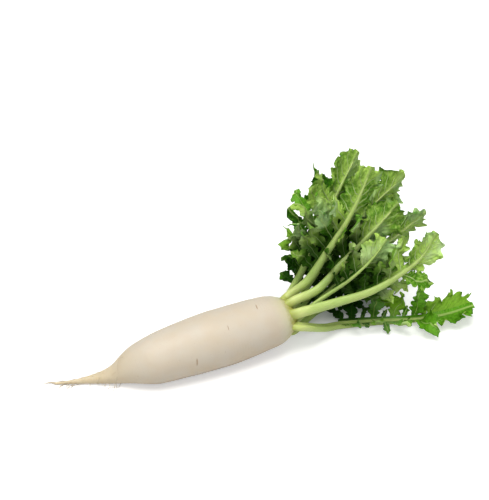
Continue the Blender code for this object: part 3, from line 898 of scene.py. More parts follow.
def rootlets_mesh():
    """Fine hair roots from the tail, which droop to the surface, and the thread that ends the tail."""
    draw = random.Random(3)
    surface = Surface()
    start, span = ROOTLET_SPAN
    for i in range(ROOTLETS):
        share = (i + draw.random()) / ROOTLETS
        distance = start + span * share**0.6
        angle = draw.uniform(0, math.tau)
        outwards = Vector((0, -math.sin(angle), math.cos(angle)))
        point = root_centre(distance) + outwards * root_radius(distance) * 0.7
        heading = (Vector((-0.9, 0.25, 0)) + outwards * draw.uniform(0.5, 1.3)).normalized()
        step = draw.uniform(*ROOTLET_LENGTHS) * (1.15 - 0.60 * share) / ROOTLET_POINTS
        radius = draw.uniform(*ROOTLET_RADII)
        sway = Vector((draw.uniform(-1, 1), draw.uniform(-1, 1), draw.uniform(-0.4, 0.4)))
        points = []
        for _ in range(ROOTLET_POINTS):
            points.append(point)
            turn = noise.noise_vector(point * 130 + sway * 7) * 0.275
            heading = (heading + turn + sway * 0.05 + ROOTLET_FALL).normalized()
            point = point + heading * step
            if point.z < radius * 1.5:
                point.z = radius * 1.5
                heading.z = max(heading.z, 0.0)
        radii = radius * (1 - 0.75 * np.linspace(0, 1, ROOTLET_POINTS) ** 1.2)
        surface.add_tube(points, radii, 6, draw.random(), (0.1, 0.2, 1.0))
    thread = []
    for i in range(THREAD_POINTS):
        point = root_centre(ROOT_PROFILE[-1][0] - 0.001)
        point += Vector((-0.0010 * i, 0.0006 * i + 0.0012 * math.sin(i * 0.42), -0.00003 * i))
        point.z = max(point.z, 0.0006)
        thread.append(point)
    radii = THREAD_RADIUS * (1 - 0.90 * np.linspace(0, 1, THREAD_POINTS) ** 1.1)
    surface.add_tube(thread, radii, 8, 0.2, (0, 0, 1.0))
    return surface.mesh("tail_rootlets")


# Leaves

RIDGES = 11
RIDGE_RELIEF = 0.022
CHANNEL = 0.30
SHOULDER = 0.36  # half width and height of the channel's edges, as a share of the stalk's width and depth
FLARE = (0.16, 0.006)  # the stalk's foot is this much wider, down to nothing over this length
RIB_POINT = ((0.004, 0.8), (0.007, 0.45), (0.0085, 0.05))  # (share past the midrib's end, share of its width)
STALK_ROUGHNESS = 0.00018

NOTCH_SPACING = 0.0056
LOBE_NOTCHES = (0.30, 0.55)
TIP_NOTCHES = (0.18, 0.30)
FULL_LOBE = 0.03  # shorter lobes are crumpled and ruffled less
RUFFLE_SPACING = 0.045
LOBE_RUFFLES = (0.0014, 0.0028)
TIP_RUFFLES = (0.0014, 0.0030)
TIP_RUFFLE_WAVES = 4.6
BLISTERS = 0.0009
BLISTER_SCALE = 190
MIDVEIN_GROOVE = 0.0011
TIP_PLACE = 0.003  # the end lobe's halves start this far from the midvein, as the midrib covers it
WEB_PLACE = 0.45
WEB_OVER = 0.0001  # the strip on the midrib stands this far over the shoulders of the midrib's channel
WEB_SUNK = 0.62  # height of the strip's middle, as a share of that of the shoulders
TIP_VEINS = 4
TIP_VEIN_POINTS = 14
TIP_VEIN_RADII = (0.00075, 0.00018)


def rib_lift(leaf, share):
    """How far the shoulders of the stalk's upper side stand over its midline."""
    return stalk_width(leaf, share) * STALK_DEPTH * SHOULDER


def add_stalk(surface, leaf, midline, tint):
    """The stalk and midrib: ridged and round below, with a channel above."""
    past, point_sizes = zip(*RIB_POINT)
    shares = np.concatenate([np.linspace(0, RIB_END, FINE_STALK_RINGS), RIB_END + np.array(past)])
    sizes = np.concatenate([np.ones(FINE_STALK_RINGS), point_sizes])
    angles = np.linspace(0, math.tau, FINE_STALK_SIDES + 1)
    cosine, sine = np.cos(angles), np.sin(angles)
    ridges = 1 + RIDGE_RELIEF * np.cos(RIDGES * angles) * (sine < 0.35)
    channel = CHANNEL * np.exp(-((cosine / 0.42) ** 2)) * (sine > 0)
    flare, flare_length = FLARE
    rings = []
    for share, size in zip(shares, sizes):
        point, _, normal, sideways = frame_at(midline, share)
        flared = 1 + flare * math.exp(-share * midline.length / flare_length)
        width = stalk_width(leaf, share) * size * flared
        height = width * STALK_DEPTH / 2
        x = cosine * ridges * width / 2
        y = np.minimum(sine * ridges, 0.86) * height - channel * height * 0.8
        rings.append(point + x[:, None] * sideways + y[:, None] * normal)
    rings = np.array(rings)
    rough = noise_at(rings, 160, leaf.seed) * STALK_ROUGHNESS
    rings += rough[..., None] * unit(rings - rings.mean(axis=1, keepdims=True))
    places = in_cm(angles[None] * leaf.stalk_width / 2, shares[:, None] * midline.length)
    surface.add_grid(rings, places, tint)
    for row in (0, -1):
        surface.add_end(rings[row], rings[row, :-1].mean(axis=0), places[row], tint)


def push(leaf, midline, share):
    """How far the blade's middle is drawn forwards near the leaf's end, to round the end lobe."""
    along = (share - 1) * midline.length / leaf.tip_length + 1
    reach, length = TIP_PUSH
    return reach * leaf.tip_length / length * float(smooth(along, 0.5, 1.0))


def wing_width(leaf, midline, share):
    """Width of the blade's strip beside the midrib: it starts above the bare stalk and widens to the tip."""
    start = float(smooth((share - leaf.bare) * midline.length, -0.001, 0.012))
    return FINE_WING * start * (0.20 + 0.80 * float(smooth(share, leaf.bare + 0.12, 0.92)))


def web_row(leaf, midline, share):
    """Points across the strip of blade that lies on the midrib, from edge to edge."""
    point, tangent, normal, sideways = midline.at(share)
    width = stalk_width(leaf, share)
    outer, shoulder = width / 2 + wing_width(leaf, midline, share), width * SHOULDER
    lift, rib = blade_lift(width), rib_lift(leaf, share)
    over, sunk = rib + WEB_OVER, rib * WEB_SUNK
    across = ((-outer, lift), (-shoulder, over), (0, sunk), (shoulder, over), (outer, lift))
    middle = point + tangent * push(leaf, midline, share)
    return [middle + sideways * aside + normal * up for aside, up in across]


def web_edges(leaf, midline, shares, side):
    """Points of that strip's edge on one side."""
    return np.array([web_row(leaf, midline, share)[0 if side < 0 else -1] for share in shares])


def foot_shares(lobe, columns):
    """Where the columns of a lobe's grid stand on the midline."""
    return [lobe.centre + lobe.foot * (2 * i / columns - 1) for i in range(columns + 1)]


def tip_shares(half, rows):
    """Where the rows of an end lobe's grid stand on the midline."""
    return [half.start + (1 - half.start) * i / rows for i in range(rows + 1)]


def teeth(along, count, phase, depth):
    """Edge of a lobe: blunt teeth with sharp notches between them, as a share of its width."""
    return 1 - depth * (1 - np.abs(np.sin(np.pi * (count * along + phase))) ** 0.55)


def veined(distance, run, edge):
    """Relief of a blade: a groove along the midvein, and the leaf swells between the side veins."""
    away = np.abs(distance)
    turn = (run - VEIN_SLANT * away) / VEIN_SPACING + 0.5
    pillow = PILLOW * np.cos(math.tau * turn) * smooth(away, 0.0006, 0.0030) * (1 - 0.5 * edge)
    return pillow - GROOVE * np.exp(-((distance / MIDVEIN_GROOVE) ** 2))


def vein_depth(radii):
    """How far below the blade's middle a vein's centre runs, so that it stays under the upper side."""
    return np.maximum(LEAF_THICKNESS * 0.5 + radii * 0.25, radii - LEAF_THICKNESS * 0.3)[:, None]


def in_rib(leaf, midline, share, beside, aside):
    """The point inside the midrib where a side vein starts."""
    point, _, normal, sideways = frame_at(midline, share)
    return point + sideways * aside * stalk_width(leaf, beside) + normal * rib_lift(leaf, beside) * 0.5


def raised(points, along, heights):
    """The points, moved along a direction by these heights."""
    return points + along * heights[..., None]


def blistered(points, up, leaf, weights):
    """The points of a blade with small blisters, as far as the weights say."""
    return raised(points, up, noise_at(points, BLISTER_SCALE, leaf.seed) * BLISTERS * weights)


def add_lobe(blade, ribs, leaf, midline, lobe, grid, draw):
    """One fine lobe on the form of the coarse one, with the vein that stands out of its lower side."""
    columns, rows = grid
    start, forwards, broad, up = (np.array(v) for v in lobe.axes(leaf, midline))
    spread = np.linspace(-1, 1, columns + 1)[None]
    along = np.linspace(0, 1, rows + 1)[:, None]
    second = spread > 0
    count = max(3.0, lobe.length / NOTCH_SPACING)
    edges = [
        teeth(along, count * draw.uniform(0.85, 1.15), draw.random(), draw.uniform(*LOBE_NOTCHES))
        for _ in range(2)
    ]
    outline = np.vectorize(lobe_outline)(along) * np.where(second, *edges)
    distance = LOBE_SPREAD * lobe.width / 2 * outline * spread
    run = lobe.length * along + 0 * spread
    full = min(1.0, lobe.length / FULL_LOBE)
    edge = np.abs(spread) ** 1.5
    ripple = lobe.wave * edge * np.sin(math.tau * (LOBE_WAVES * along + lobe.phase + 0.25 * second))
    turns = draw.uniform(2.6, 3.8) * lobe.length / RUFFLE_SPACING
    ruffle = draw.uniform(*LOBE_RUFFLES) * full * spread**2 * smooth(along, 0.05, 0.3)
    ruffle = ruffle * np.sin(math.tau * (turns * along + draw.random() + draw.uniform(0.2, 0.5) * second))
    fold = draw.uniform(-0.20, 0.50) * np.abs(distance)
    turn = draw.uniform(-LOBE_TURN, LOBE_TURN) * smooth(along, 0.15, 1.0)
    lift = distance * math.tan(lobe.twist) * np.minimum(1, along * 2)
    lift = lift + ripple + ruffle + fold + veined(distance, run, edge)
    aside = distance * np.cos(turn) - lift * np.sin(turn) + LOBE_BOW * lobe.length * along**2
    lift = lift * np.cos(turn) + distance * np.sin(turn) + lobe.curl * lobe.length * along**2
    ahead = run + 0.22 * lobe.width * (1 - spread**2) * smooth(along, 0.72, 1.0)
    points = raised(raised(raised(start, forwards, ahead), broad, aside), up, lift)
    points = blistered(points, up, leaf, smooth(along, 0.0, 0.25))
    points = crumpled(points, smooth(along, 0.1, 0.8) * full)
    foot = web_edges(leaf, midline, foot_shares(lobe, columns), lobe.side)[None]
    from_foot = raised(raised(foot, forwards, run * 0.9), up, lift * along)
    joined = smooth(along, 0.0, 0.20)[..., None]
    points = from_foot * (1 - joined) + points * joined
    points[..., 2] = np.maximum(points[..., 2], LEAF_THICKNESS)
    tint = draw.random()
    blade.add_grid(points, in_cm(distance, run), tint, up)

    middle = points[: int(rows * 0.93), columns // 2]
    across = points[: len(middle), -1] - points[: len(middle), 0]
    below = unit(np.cross(across, np.gradient(middle, axis=0)))
    below *= -np.sign((below @ up).sum())
    radii = (0.022 * lobe.width + 0.0002) * (1 - 0.86 * np.linspace(0, 1, len(middle)) ** 0.8)
    inside = in_rib(leaf, midline, lobe.centre - lobe.foot * 0.6, lobe.centre, lobe.side * 0.34)
    path = np.vstack([inside, middle + below * vein_depth(radii)])
    ribs.add_tube(path, np.append(radii[0] * 1.25, radii), 8, tint, up, finish=1)


def add_tip_half(blade, ribs, leaf, midline, half, draw):
    """One fine half of the end lobe, with the side veins that stand out of its lower side."""
    columns, rows = TIP_GRID
    spread = np.linspace(0, 1, columns + 1)[None]
    along = np.linspace(0, 1, rows + 1)[:, None]
    shares = tip_shares(half, rows)
    frames = [midline.at(share) for share in shares]
    tangent, normal, sideways = (np.array([f[i] for f in frames])[:, None] for i in (1, 2, 3))
    lean = np.radians(TIP_LEAN - TIP_CLOSING * along)[..., None]
    risen = sideways * half.side * math.cos(half.rise) + normal * math.sin(half.rise)
    outwards = tangent * np.cos(lean) + risen * np.sin(lean)
    outline = np.vectorize(tip_outline)(along)
    outline = outline * teeth(along, draw.uniform(7.5, 9.5), draw.random(), draw.uniform(*TIP_NOTCHES))
    distance = half.width * outline * spread
    run = np.array(shares)[:, None] * midline.length + 0 * spread
    ripple = TIP_WAVE * spread**1.5 * np.sin(math.tau * (TIP_WAVES * along + half.phase))
    ruffle = draw.uniform(*TIP_RUFFLES) * spread**2
    ruffle = ruffle * np.sin(math.tau * (TIP_RUFFLE_WAVES * along + draw.random()))
    lift = ripple + ruffle + half.droop * distance * spread + veined(distance + TIP_PLACE, run, spread)
    drawn = np.array([push(leaf, midline, share) for share in shares])[:, None] * ((1 - spread) ** 2 - 1)
    points = raised(web_edges(leaf, midline, shares, half.side)[:, None], outwards, distance)
    points = raised(raised(points, normal, lift * smooth(spread, 0, 0.2)), tangent, drawn)
    points = blistered(points, normal, leaf, smooth(spread, 0, 0.3))
    points = crumpled(points, smooth(spread, 0.05, 0.9))
    points[..., 2] = np.maximum(points[..., 2], LEAF_THICKNESS)
    tint = draw.random()
    blade.add_grid(points, in_cm(distance + TIP_PLACE, run), tint, normal.mean(axis=(0, 1)))

    for k in range(TIP_VEINS):
        first = 0.04 + 0.22 * k
        steps = np.linspace(0, 0.86, TIP_VEIN_POINTS)
        at_row = np.clip((first + 0.20 * steps) * rows, 0, rows - 1)
        radii = np.linspace(*TIP_VEIN_RADII, TIP_VEIN_POINTS) * (1 - 0.15 * k)
        up = normal[at_row.astype(int), 0]
        path = bilinear(points, at_row, steps * columns) - up * vein_depth(radii)
        share = shares[int(first * rows)]
        inside = in_rib(leaf, midline, share - 0.006, share, half.side * 0.30)
        path, radii, up = np.vstack([inside, path]), np.append(radii[0], radii), np.vstack([up[:1], up])
        ribs.add_tube(path, radii, 7, tint, up, finish=1)


def bilinear(grid, rows, columns):
    """Points of a grid at fractional rows and columns."""
    i = np.minimum(rows.astype(int), grid.shape[0] - 2)
    j = np.minimum(columns.astype(int), grid.shape[1] - 2)
    u, v = (rows - i)[:, None], (columns - j)[:, None]
    left = grid[i, j] * (1 - u) + grid[i + 1, j] * u
    right = grid[i, j + 1] * (1 - u) + grid[i + 1, j + 1] * u
    return left * (1 - v) + right * v


def add_web(blade, leaf, midline, shares):
    """The strip of blade on the midrib, with a row wherever a point of a lobe stands on its edge."""
    width = [stalk_width(leaf, share) / 2 + wing_width(leaf, midline, share) for share in shares]
    across = np.array(width)[:, None] * (-WEB_PLACE, 0, 0, 0, WEB_PLACE)
    places = in_cm(across, np.array(shares)[:, None] * midline.length)
    normal = np.array([midline.at(share)[2] for share in shares]).mean(axis=0)
    blade.add_grid(np.array([web_row(leaf, midline, share) for share in shares]), places, 0.5, normal)


def add_leaf(leaf, midline, lobes, leaflets, finishes, crowd_shade):
    """A leaf's two pieces: the ribs, which are its stalk, midrib and veins, and the blade."""
    draw = random.Random(leaf.seed + 500)
    ribs, blade = Surface(), Surface()
    add_stalk(ribs, leaf, midline, draw.random())
    shares = {leaf.bare + 0.002 * i for i in range(4)}
    for lobe in lobes:
        if isinstance(lobe, TipHalf):
            add_tip_half(blade, ribs, leaf, midline, lobe, draw)
            shares.update(tip_shares(lobe, TIP_GRID[1]))
        else:
            add_lobe(blade, ribs, leaf, midline, lobe, LOBE_GRID, draw)
            shares.update(foot_shares(lobe, LOBE_GRID[0]))
    for leaflet in leaflets:
        add_lobe(blade, ribs, leaf, midline, leaflet, LEAFLET_GRID, draw)
        shares.update(foot_shares(leaflet, LEAFLET_GRID[0]))
    add_web(blade, leaf, midline, sorted(shares))
    meshes = ribs.mesh(leaf.name + "_ribs"), blade.mesh(leaf.name + "_leafage")
    # each piece holds how crowded it is, as the mask of its painted shade
    for mesh in meshes:
        crowd_shade.mark(mesh)
    shown(meshes[0].name, meshes[0], "leaf_stalk", finishes[:2], leaf.name + "_stalk")
    piece = shown(meshes[1].name, meshes[1], "leaf_blade", finishes[2:], leaf.name + "_blade")
    thick = piece.modifiers.new("thickness", "SOLIDIFY")
    thick.thickness = LEAF_THICKNESS
    thick.offset = 0
    thick.material_offset = 1
    thick.material_offset_rim = 0


# Materials


class Nodes:
    """The nodes of one material or node group, and short ways to add to them."""

    def __init__(self, tree):
        self.tree = tree

    def feed(self, socket, value):
        """Sets an input, or links it where the value is a socket."""
        if isinstance(value, bpy.types.NodeSocket):
            self.tree.links.new(value, socket)
        else:
            socket.default_value = (*value, 1) if socket.type == "RGBA" else value

    def add(self, kind, inputs=None, **settings):
        """Adds a node and returns its outputs. Its inputs are values or the sockets that feed them."""
        node = self.tree.nodes.new("ShaderNode" + kind)
        for key, value in settings.items():
            setattr(node, key, value)
        for key, value in (inputs or {}).items():
            self.feed(node.inputs[key], value)
        return node.outputs

    def calc(self, operation, *values):
        return self.add("Math", dict(enumerate(values)), operation=operation)[0]

    def times(self, first, second):
        return self.calc("MULTIPLY", first, second)

    def plus(self, first, second):
        return self.calc("ADD", first, second)

    def mapped(self, value, low, high, to_low=0.0, to_high=1.0):
        """The value's place between low and high, eased, as a number between to_low and to_high."""
        inputs = {"Value": value, "From Min": low, "From Max": high, "To Min": to_low, "To Max": to_high}
        return self.add("MapRange", inputs, interpolation_type="SMOOTHSTEP")["Result"]

    def layered(self, colour, *layers):
        """The colour with others laid over it, each (its share, the colour)."""
        for share, over in layers:
            colour = self.add("Mix", {0: share, 6: colour, 7: over}, data_type="RGBA")[2]
        return colour

    def noisy(self, vector, scale, detail=2.0, roughness=0.5):
        inputs = {"Vector": vector, "Scale": scale, "Detail": detail, "Roughness": roughness}
        return self.add("TexNoise", inputs)["Fac"]

    def bumped(self, height, distance, strength=1.0):
        return self.add("Bump", {"Height": height, "Distance": distance, "Strength": strength})["Normal"]

    def split(self, vector):
        return self.add("SeparateXYZ", {"Vector": vector})

    def place(self):
        """The place on the piece, in cm."""
        return self.add("UVMap", uv_map="place")[0]

    def point(self):
        """The point's place in the object, in metres."""
        return self.add("TexCoord")["Object"]

    def on_point(self, name):
        """A number that the mesh holds on its points."""
        return self.add("Attribute", attribute_name=name, attribute_type="GEOMETRY")["Fac"]


class Group(Nodes):
    """A node group under way, with these inputs and outputs."""

    def __init__(self, name, inputs, outputs):
        super().__init__(bpy.data.node_groups.new(name, "ShaderNodeTree"))
        for socket in inputs:
            self.tree.interface.new_socket(socket, in_out="INPUT", socket_type="NodeSocketVector")
        for socket in outputs:
            self.tree.interface.new_socket(socket, in_out="OUTPUT", socket_type="NodeSocketFloat")
        self.given = self.tree.nodes.new("NodeGroupInput").outputs
        self.results = self.tree.nodes.new("NodeGroupOutput").inputs

    def give(self, **results):
        for key, value in results.items():
            self.tree.links.new(value, self.results[key])
        return self.tree


class Finish(Nodes):
    """A material under way, with its main shader."""

    def __init__(self, name):
        self.material = bpy.data.materials.new(name)
        self.material.use_nodes = True
        super().__init__(self.material.node_tree)
        self.tree.nodes.clear()
        self.shader = self.tree.nodes.new("ShaderNodeBsdfPrincipled")
        self.output = self.tree.nodes.new("ShaderNodeOutputMaterial")
        self.show(self.shader.outputs[0])

    def show(self, shader):
        self.tree.links.new(shader, self.output.inputs["Surface"])

    def set(self, **inputs):
        for key, value in inputs.items():
            self.feed(self.shader.inputs[key.replace("_", " ")], value)

    def use(self, group, **inputs):
        return self.add("Group", inputs, node_tree=group)


def leaf_veins_group():
    """Rib, veins, and the fine net between them. Place is (from the midvein, along) in cm."""
    group = Group("leaf_veins", ("Place", "Object"), ("Rib", "Vein", "Net"))
    place = group.split(group.given["Place"])
    away = group.calc("ABSOLUTE", place["X"])
    waver = group.times(group.calc("SUBTRACT", group.noisy(group.given["Object"], 160.0), 0.5), 0.16)
    slanted = group.calc("SUBTRACT", group.plus(place["Y"], waver), group.times(away, VEIN_SLANT))
    turn = group.calc("DIVIDE", slanted, VEIN_SPACING * 100)
    between = group.calc("ABSOLUTE", group.calc("SUBTRACT", turn, group.calc("ROUND", turn)))
    middle = group.mapped(away, 0.045, 0.10, 1.0, 0.0)
    side = group.mapped(between, 0.03, 0.10, 0.75, 0.0)
    cells = {"Vector": group.given["Object"], "Scale": 620.0}
    gap = group.add("TexVoronoi", cells, feature="DISTANCE_TO_EDGE")["Distance"]
    return group.give(
        Rib=group.mapped(away, 0.02, 0.07, 1.0, 0.0),
        Vein=group.calc("MAXIMUM", middle, side),
        Net=group.mapped(gap, 0.0, 0.16, 1.0, 0.0),
    )


def mottle_group():
    """Slow and quick unevenness, each from 0 to 1."""
    group = Group("mottle", ("Object",), ("Slow", "Quick"))
    point = group.given["Object"]
    slow = group.mapped(group.noisy(point, 34.0, 3.0), 0.32, 0.68)
    return group.give(Slow=slow, Quick=group.mapped(group.noisy(point, 260.0, 3.0, 0.6), 0.3, 0.7))


def stalk_fibres_group():
    """Fine fibres that run along a stalk. Place is (around, along) in cm."""
    group = Group("stalk_fibres", ("Place",), ("Fibre",))
    place = group.split(group.given["Place"])
    drawn_out = group.add("CombineXYZ", {"X": place["X"], "Y": group.times(place["Y"], 0.05)})[0]
    return group.give(Fibre=group.noisy(drawn_out, 26.0, 3.0, 0.6))


IVORY = (0.535, 0.480, 0.394)
WARM = (0.520, 0.405, 0.260)
SHOULDER_GREEN = (0.37, 0.36, 0.075)
SHOULDER_PALE = (0.60, 0.60, 0.33)
TAIL_YELLOW = (0.570, 0.470, 0.290)
SCAR_BROWN = (0.30, 0.19, 0.11)
UNDERSIDE_PAINTED_SHADE = (0.360, 0.275, 0.180)
SKIN_DEPTH = (0.0060, 0.0044, 0.0030)
UNDERSIDE = 10.0  # place of the skin's underside, half of the way round


def root_skin_material(mottle):
    """Ivory skin with painted shade below, warmer and then brown along its underside, green at the shoulder,
    with scars, ring lines and specks.
    """
    skin = Finish("root_skin")
    point = skin.point()
    around, along, _ = skin.split(skin.place())
    patches = skin.use(mottle, Object=point)
    away = skin.calc("ABSOLUTE", skin.calc("SUBTRACT", around, UNDERSIDE))
    ragged = skin.plus(along, skin.times(patches["Quick"], 0.22))
    rings = skin.add("CombineXYZ", {"X": skin.times(around, 0.16), "Y": along})[0]
    lines = skin.noisy(rings, 9.0, 4.0, 0.65)
    specks = skin.add("TexVoronoi", {"Vector": point, "Scale": 210.0})["Distance"]
    colour = skin.layered(
        IVORY,
        (skin.times(patches["Slow"], 0.30), WARM),
        # painted shade: warmer in patches towards the underside
        (skin.times(skin.mapped(away, 1.5, 6.0, 0.5, 0.0), patches["Slow"]), WARM),
        # painted shade: a brown band along the underside, where it rests on the floor
        (skin.mapped(away, 2.2, 3.6, 0.75, 0.0), UNDERSIDE_PAINTED_SHADE),
        (skin.mapped(along, 15.3, 23.0, 0.0, 0.75), TAIL_YELLOW),
        (skin.mapped(ragged, 0.5, 2.6, 0.45, 0.0), SHOULDER_PALE),
        (skin.mapped(ragged, 0.15, 1.05, 1.0, 0.0), SHOULDER_GREEN),
        (skin.mapped(lines, 0.60, 0.74, 0.0, 0.30), WARM),
        (skin.mapped(specks, 0.03, 0.10, 0.30, 0.0), SCAR_BROWN),
        (skin.mapped(skin.on_point("tint"), 0.25, 0.9, 0.0, 0.80), SCAR_BROWN),
    )
    grain = skin.plus(skin.noisy(point, 700.0, 3.0), skin.times(lines, 1.2))
    skin.set(
        Base_Color=colour, Roughness=skin.mapped(patches["Quick"], 0, 1, 0.46, 0.58), IOR=1.40,
        Normal=skin.bumped(grain, 0.00010, 0.6), Coat_Weight=0.06, Coat_Roughness=0.35,
        Subsurface_Weight=0.30, Subsurface_Radius=SKIN_DEPTH, Subsurface_Scale=1.0,
    )
    return skin.material


ROOTLET_PALE = (0.56, 0.47, 0.33)
ROOTLET_BROWN = (0.36, 0.28, 0.18)


def rootlet_material():
    """Thin dry roots, each paler or browner."""
    hair = Finish("rootlet")
    colour = hair.layered(ROOTLET_PALE, (hair.on_point("tint"), ROOTLET_BROWN))
    normal = hair.bumped(hair.noisy(hair.point(), 900.0), 0.00008)
    hair.set(Base_Color=colour, Roughness=0.55, Normal=normal)
    return hair.material


STALK_GREEN = (0.35, 0.49, 0.105)
STALK_SHADED = (0.16, 0.32, 0.035)
STALK_PALE = (0.62, 0.68, 0.29)
STALK_FOOT = (0.64, 0.67, 0.26)
STALK_BASE = (0.30, 0.34, 0.045)
STALK_PAINTED_SHADE = (0.06, 0.13, 0.012)
STALK_JUICE = (0.0018, 0.0026, 0.0008)


def stalk_material(mottle, fibres):
    """Pale green stalks with fine fibres, yellower at the foot, with painted shade where the blades crowd
    round them.
    """
    stalk = Finish("leaf_stalk")
    place, point = stalk.place(), stalk.point()
    along = stalk.split(place)["Y"]
    patches = stalk.use(mottle, Object=point)
    fibre = stalk.use(fibres, Place=place)["Fibre"]
    lines = stalk.mapped(fibre, 0.35, 0.65)
    colour = stalk.layered(
        STALK_GREEN,
        (stalk.times(lines, 0.55), STALK_PALE),
        (stalk.times(patches["Slow"], 0.28), STALK_SHADED),
        (stalk.mapped(along, 0.6, 4.0, 0.60, 0.0), STALK_FOOT),
        (stalk.mapped(along, 0.35, 1.30, 0.75, 0.0), STALK_BASE),
        (stalk.times(stalk.on_point("tint"), 0.16), STALK_SHADED),
        # painted shade where the blades crowd round the stalk
        (stalk.mapped(stalk.on_point("crowd_shade"), 0.55, 1.0, 0.0, 0.36), STALK_PAINTED_SHADE),
    )
    stalk.set(
        Base_Color=colour, Roughness=stalk.mapped(lines, 0, 1, 0.42, 0.34), IOR=1.42,
        Normal=stalk.bumped(fibre, 0.00045, 0.7), Coat_Weight=0.12, Coat_Roughness=0.25,
        Subsurface_Weight=0.20, Subsurface_Radius=STALK_JUICE, Subsurface_Scale=1.0,
    )
    return stalk.material


VEIN_GREEN = (0.34, 0.50, 0.13)
VEIN_PALE = (0.48, 0.60, 0.24)
VEIN_PAINTED_SHADE = (0.018, 0.062, 0.001)


def vein_material():
    """The raised veins on a blade's lower side, with painted shade where the blades crowd, as dark as on the
    blades.
    """
    vein = Finish("leaf_vein")
    point = vein.point()
    colour = vein.layered(
        VEIN_GREEN,
        (vein.noisy(point, 240.0), VEIN_PALE),
        # painted shade where the blades crowd
        (vein.mapped(vein.on_point("crowd_shade"), 0.25, 0.90, 0.0, 0.93), VEIN_PAINTED_SHADE),
    )
    vein.set(Base_Color=colour, Roughness=0.45, Normal=vein.bumped(vein.noisy(point, 800.0), 0.00012))
    return vein.material


@dataclass
class BladeSide:
    """How one side of a blade looks."""

    name: str
    deep: tuple
    light: tuple
    vein: tuple
    vein_share: float
    pale_share: float
    cool_share: float
    roughness: float
    gloss: float
    let_through: float
    relief: float


UPPER_SIDE = BladeSide(
    "leaf_upper", deep=(0.012, 0.085, 0.001), light=(0.150, 0.420, 0.016), vein=(0.260, 0.520, 0.070),
    vein_share=0.35, pale_share=0.10, cool_share=0.15, roughness=0.42, gloss=0.12, let_through=0.36,
    relief=0.0006,
)
LOWER_SIDE = BladeSide(
    "leaf_lower", deep=(0.048, 0.235, 0.001), light=(0.690, 0.990, 0.190), vein=(0.660, 0.880, 0.300),
    vein_share=0.32, pale_share=0.85, cool_share=0.50, roughness=0.60, gloss=0.04, let_through=0.34,
    relief=-0.0006,
)
BLADE_PALE = (0.780, 0.990, 0.520)
BLADE_COOL = (0.560, 0.790, 0.460)
BLADE_PAINTED_SUN = (0.300, 0.520, 0.030)
BLADE_PAINTED_SHADE = (0.008, 0.054, 0.0001)
RIB_PALE = (0.50, 0.66, 0.20)
LIGHT_THROUGH = (0.36, 0.62, 0.02)


def blade_material(side, veins, mottle):
    """The finish of a blade's upper side, or of its paler lower side, with painted shade where the blades
    crowd and painted sunlight on a few lobes.
    """
    blade = Finish(side.name)
    point, tint, crowd = blade.point(), blade.on_point("tint"), blade.on_point("crowd_shade")
    patches = blade.use(mottle, Object=point)
    lines = blade.use(veins, Place=blade.place(), Object=point)
    bright = blade.plus(blade.times(tint, 0.78), blade.times(patches["Slow"], 0.40))
    colour = blade.layered(
        side.deep,
        (blade.mapped(bright, 0.12, 0.80), side.light),
        (blade.mapped(patches["Quick"], 0.45, 1.0, 0.0, 0.45), side.light),
        (blade.mapped(patches["Quick"], 0.0, 0.50, 0.40, 0.0), side.deep),
        (blade.mapped(bright, 0.62, 1.02, 0.0, side.pale_share), BLADE_PALE),
        (blade.mapped(blade.noisy(point, 17.0, 1.0), 0.54, 0.64, 0.0, side.cool_share), BLADE_COOL),
        # painted sunlight: a few lobes are coloured as if lit through by the sun
        (blade.mapped(tint, 0.80, 0.86, 0.0, 0.55), BLADE_PAINTED_SUN),
        (blade.times(lines["Net"], 0.15), side.light),
        (blade.times(lines["Vein"], side.vein_share), side.vein),
        (blade.times(lines["Rib"], 0.65), RIB_PALE),
        # painted shade where the blades crowd
        (blade.mapped(crowd, 0.27, 0.80, 0.0, 0.96), BLADE_PAINTED_SHADE),
    )
    sunk = blade.times(blade.plus(lines["Vein"], blade.times(lines["Net"], 0.35)), -1.0)
    normal = blade.bumped(blade.plus(sunk, blade.times(patches["Quick"], 0.5)), side.relief, 0.9)
    blade.set(
        Base_Color=colour, Roughness=side.roughness, IOR=1.42, Specular_IOR_Level=side.gloss, Normal=normal
    )
    # painted shade on the light let through: less of its yellow green where the blades crowd
    through = blade.layered(colour, (blade.mapped(crowd, 0.25, 0.95, 0.5, 0.05), LIGHT_THROUGH))
    through = blade.add("BsdfTranslucent", {"Color": through, "Normal": normal})[0]
    blade.show(blade.add("MixShader", {0: side.let_through, 1: blade.shader.outputs[0], 2: through})[0])
    return blade.material


# Stage

FLOOR_SIZE = 24.0
FLOOR_DROP = 0.00005
FLOOR_GREY = (0.72, 0.72, 0.72)
FLOOR_GLOW = (0.42, 0.42, 0.42)
SHADE_GLOW = (0.06, 0.07, 0.06)
UNDER_LEAVES = (0.165, 0.045, 0.0)
SHADE_NARROWING = (0.80, 1.50, 1.0)
SKY_STRENGTH = 0.31
LAMP_TARGET = Vector((0.05, 0, 0.05))
LAMPS = (
    # (name, place, size, power, colour)
    ("key", (-0.5, -0.3, 3.2), 2.4, 124.0, (1.0, 0.99, 0.97)),
    ("front_fill", (-0.9, -2.6, 2.2), 2.0, 26.0, (1.0, 1.0, 1.0)),
)


def floor_material():
    """A pale floor with a painted glow that only the camera sees, so that its shadows look faint, except
    close under the leaves, where the glow is weaker as a painted shadow.
    """
    floor = Finish("floor")
    seen = floor.add("LightPath")["Is Camera Ray"]
    away = floor.add("VectorMath", {0: floor.point(), 1: UNDER_LEAVES}, operation="SUBTRACT")[0]
    away = floor.add("VectorMath", {0: away, 1: SHADE_NARROWING}, operation="MULTIPLY")[0]
    away = floor.add("VectorMath", {0: away}, operation="LENGTH")["Value"]
    # painted shadow: the glow is weaker close under the leaves
    glow = floor.layered(SHADE_GLOW, (floor.mapped(away, 0.035, 0.095), FLOOR_GLOW))
    glow = floor.layered((0.0, 0.0, 0.0), (seen, glow))
    floor.set(Base_Color=FLOOR_GREY, Roughness=0.6, Emission_Color=glow, Emission_Strength=1.0)
    return floor.material


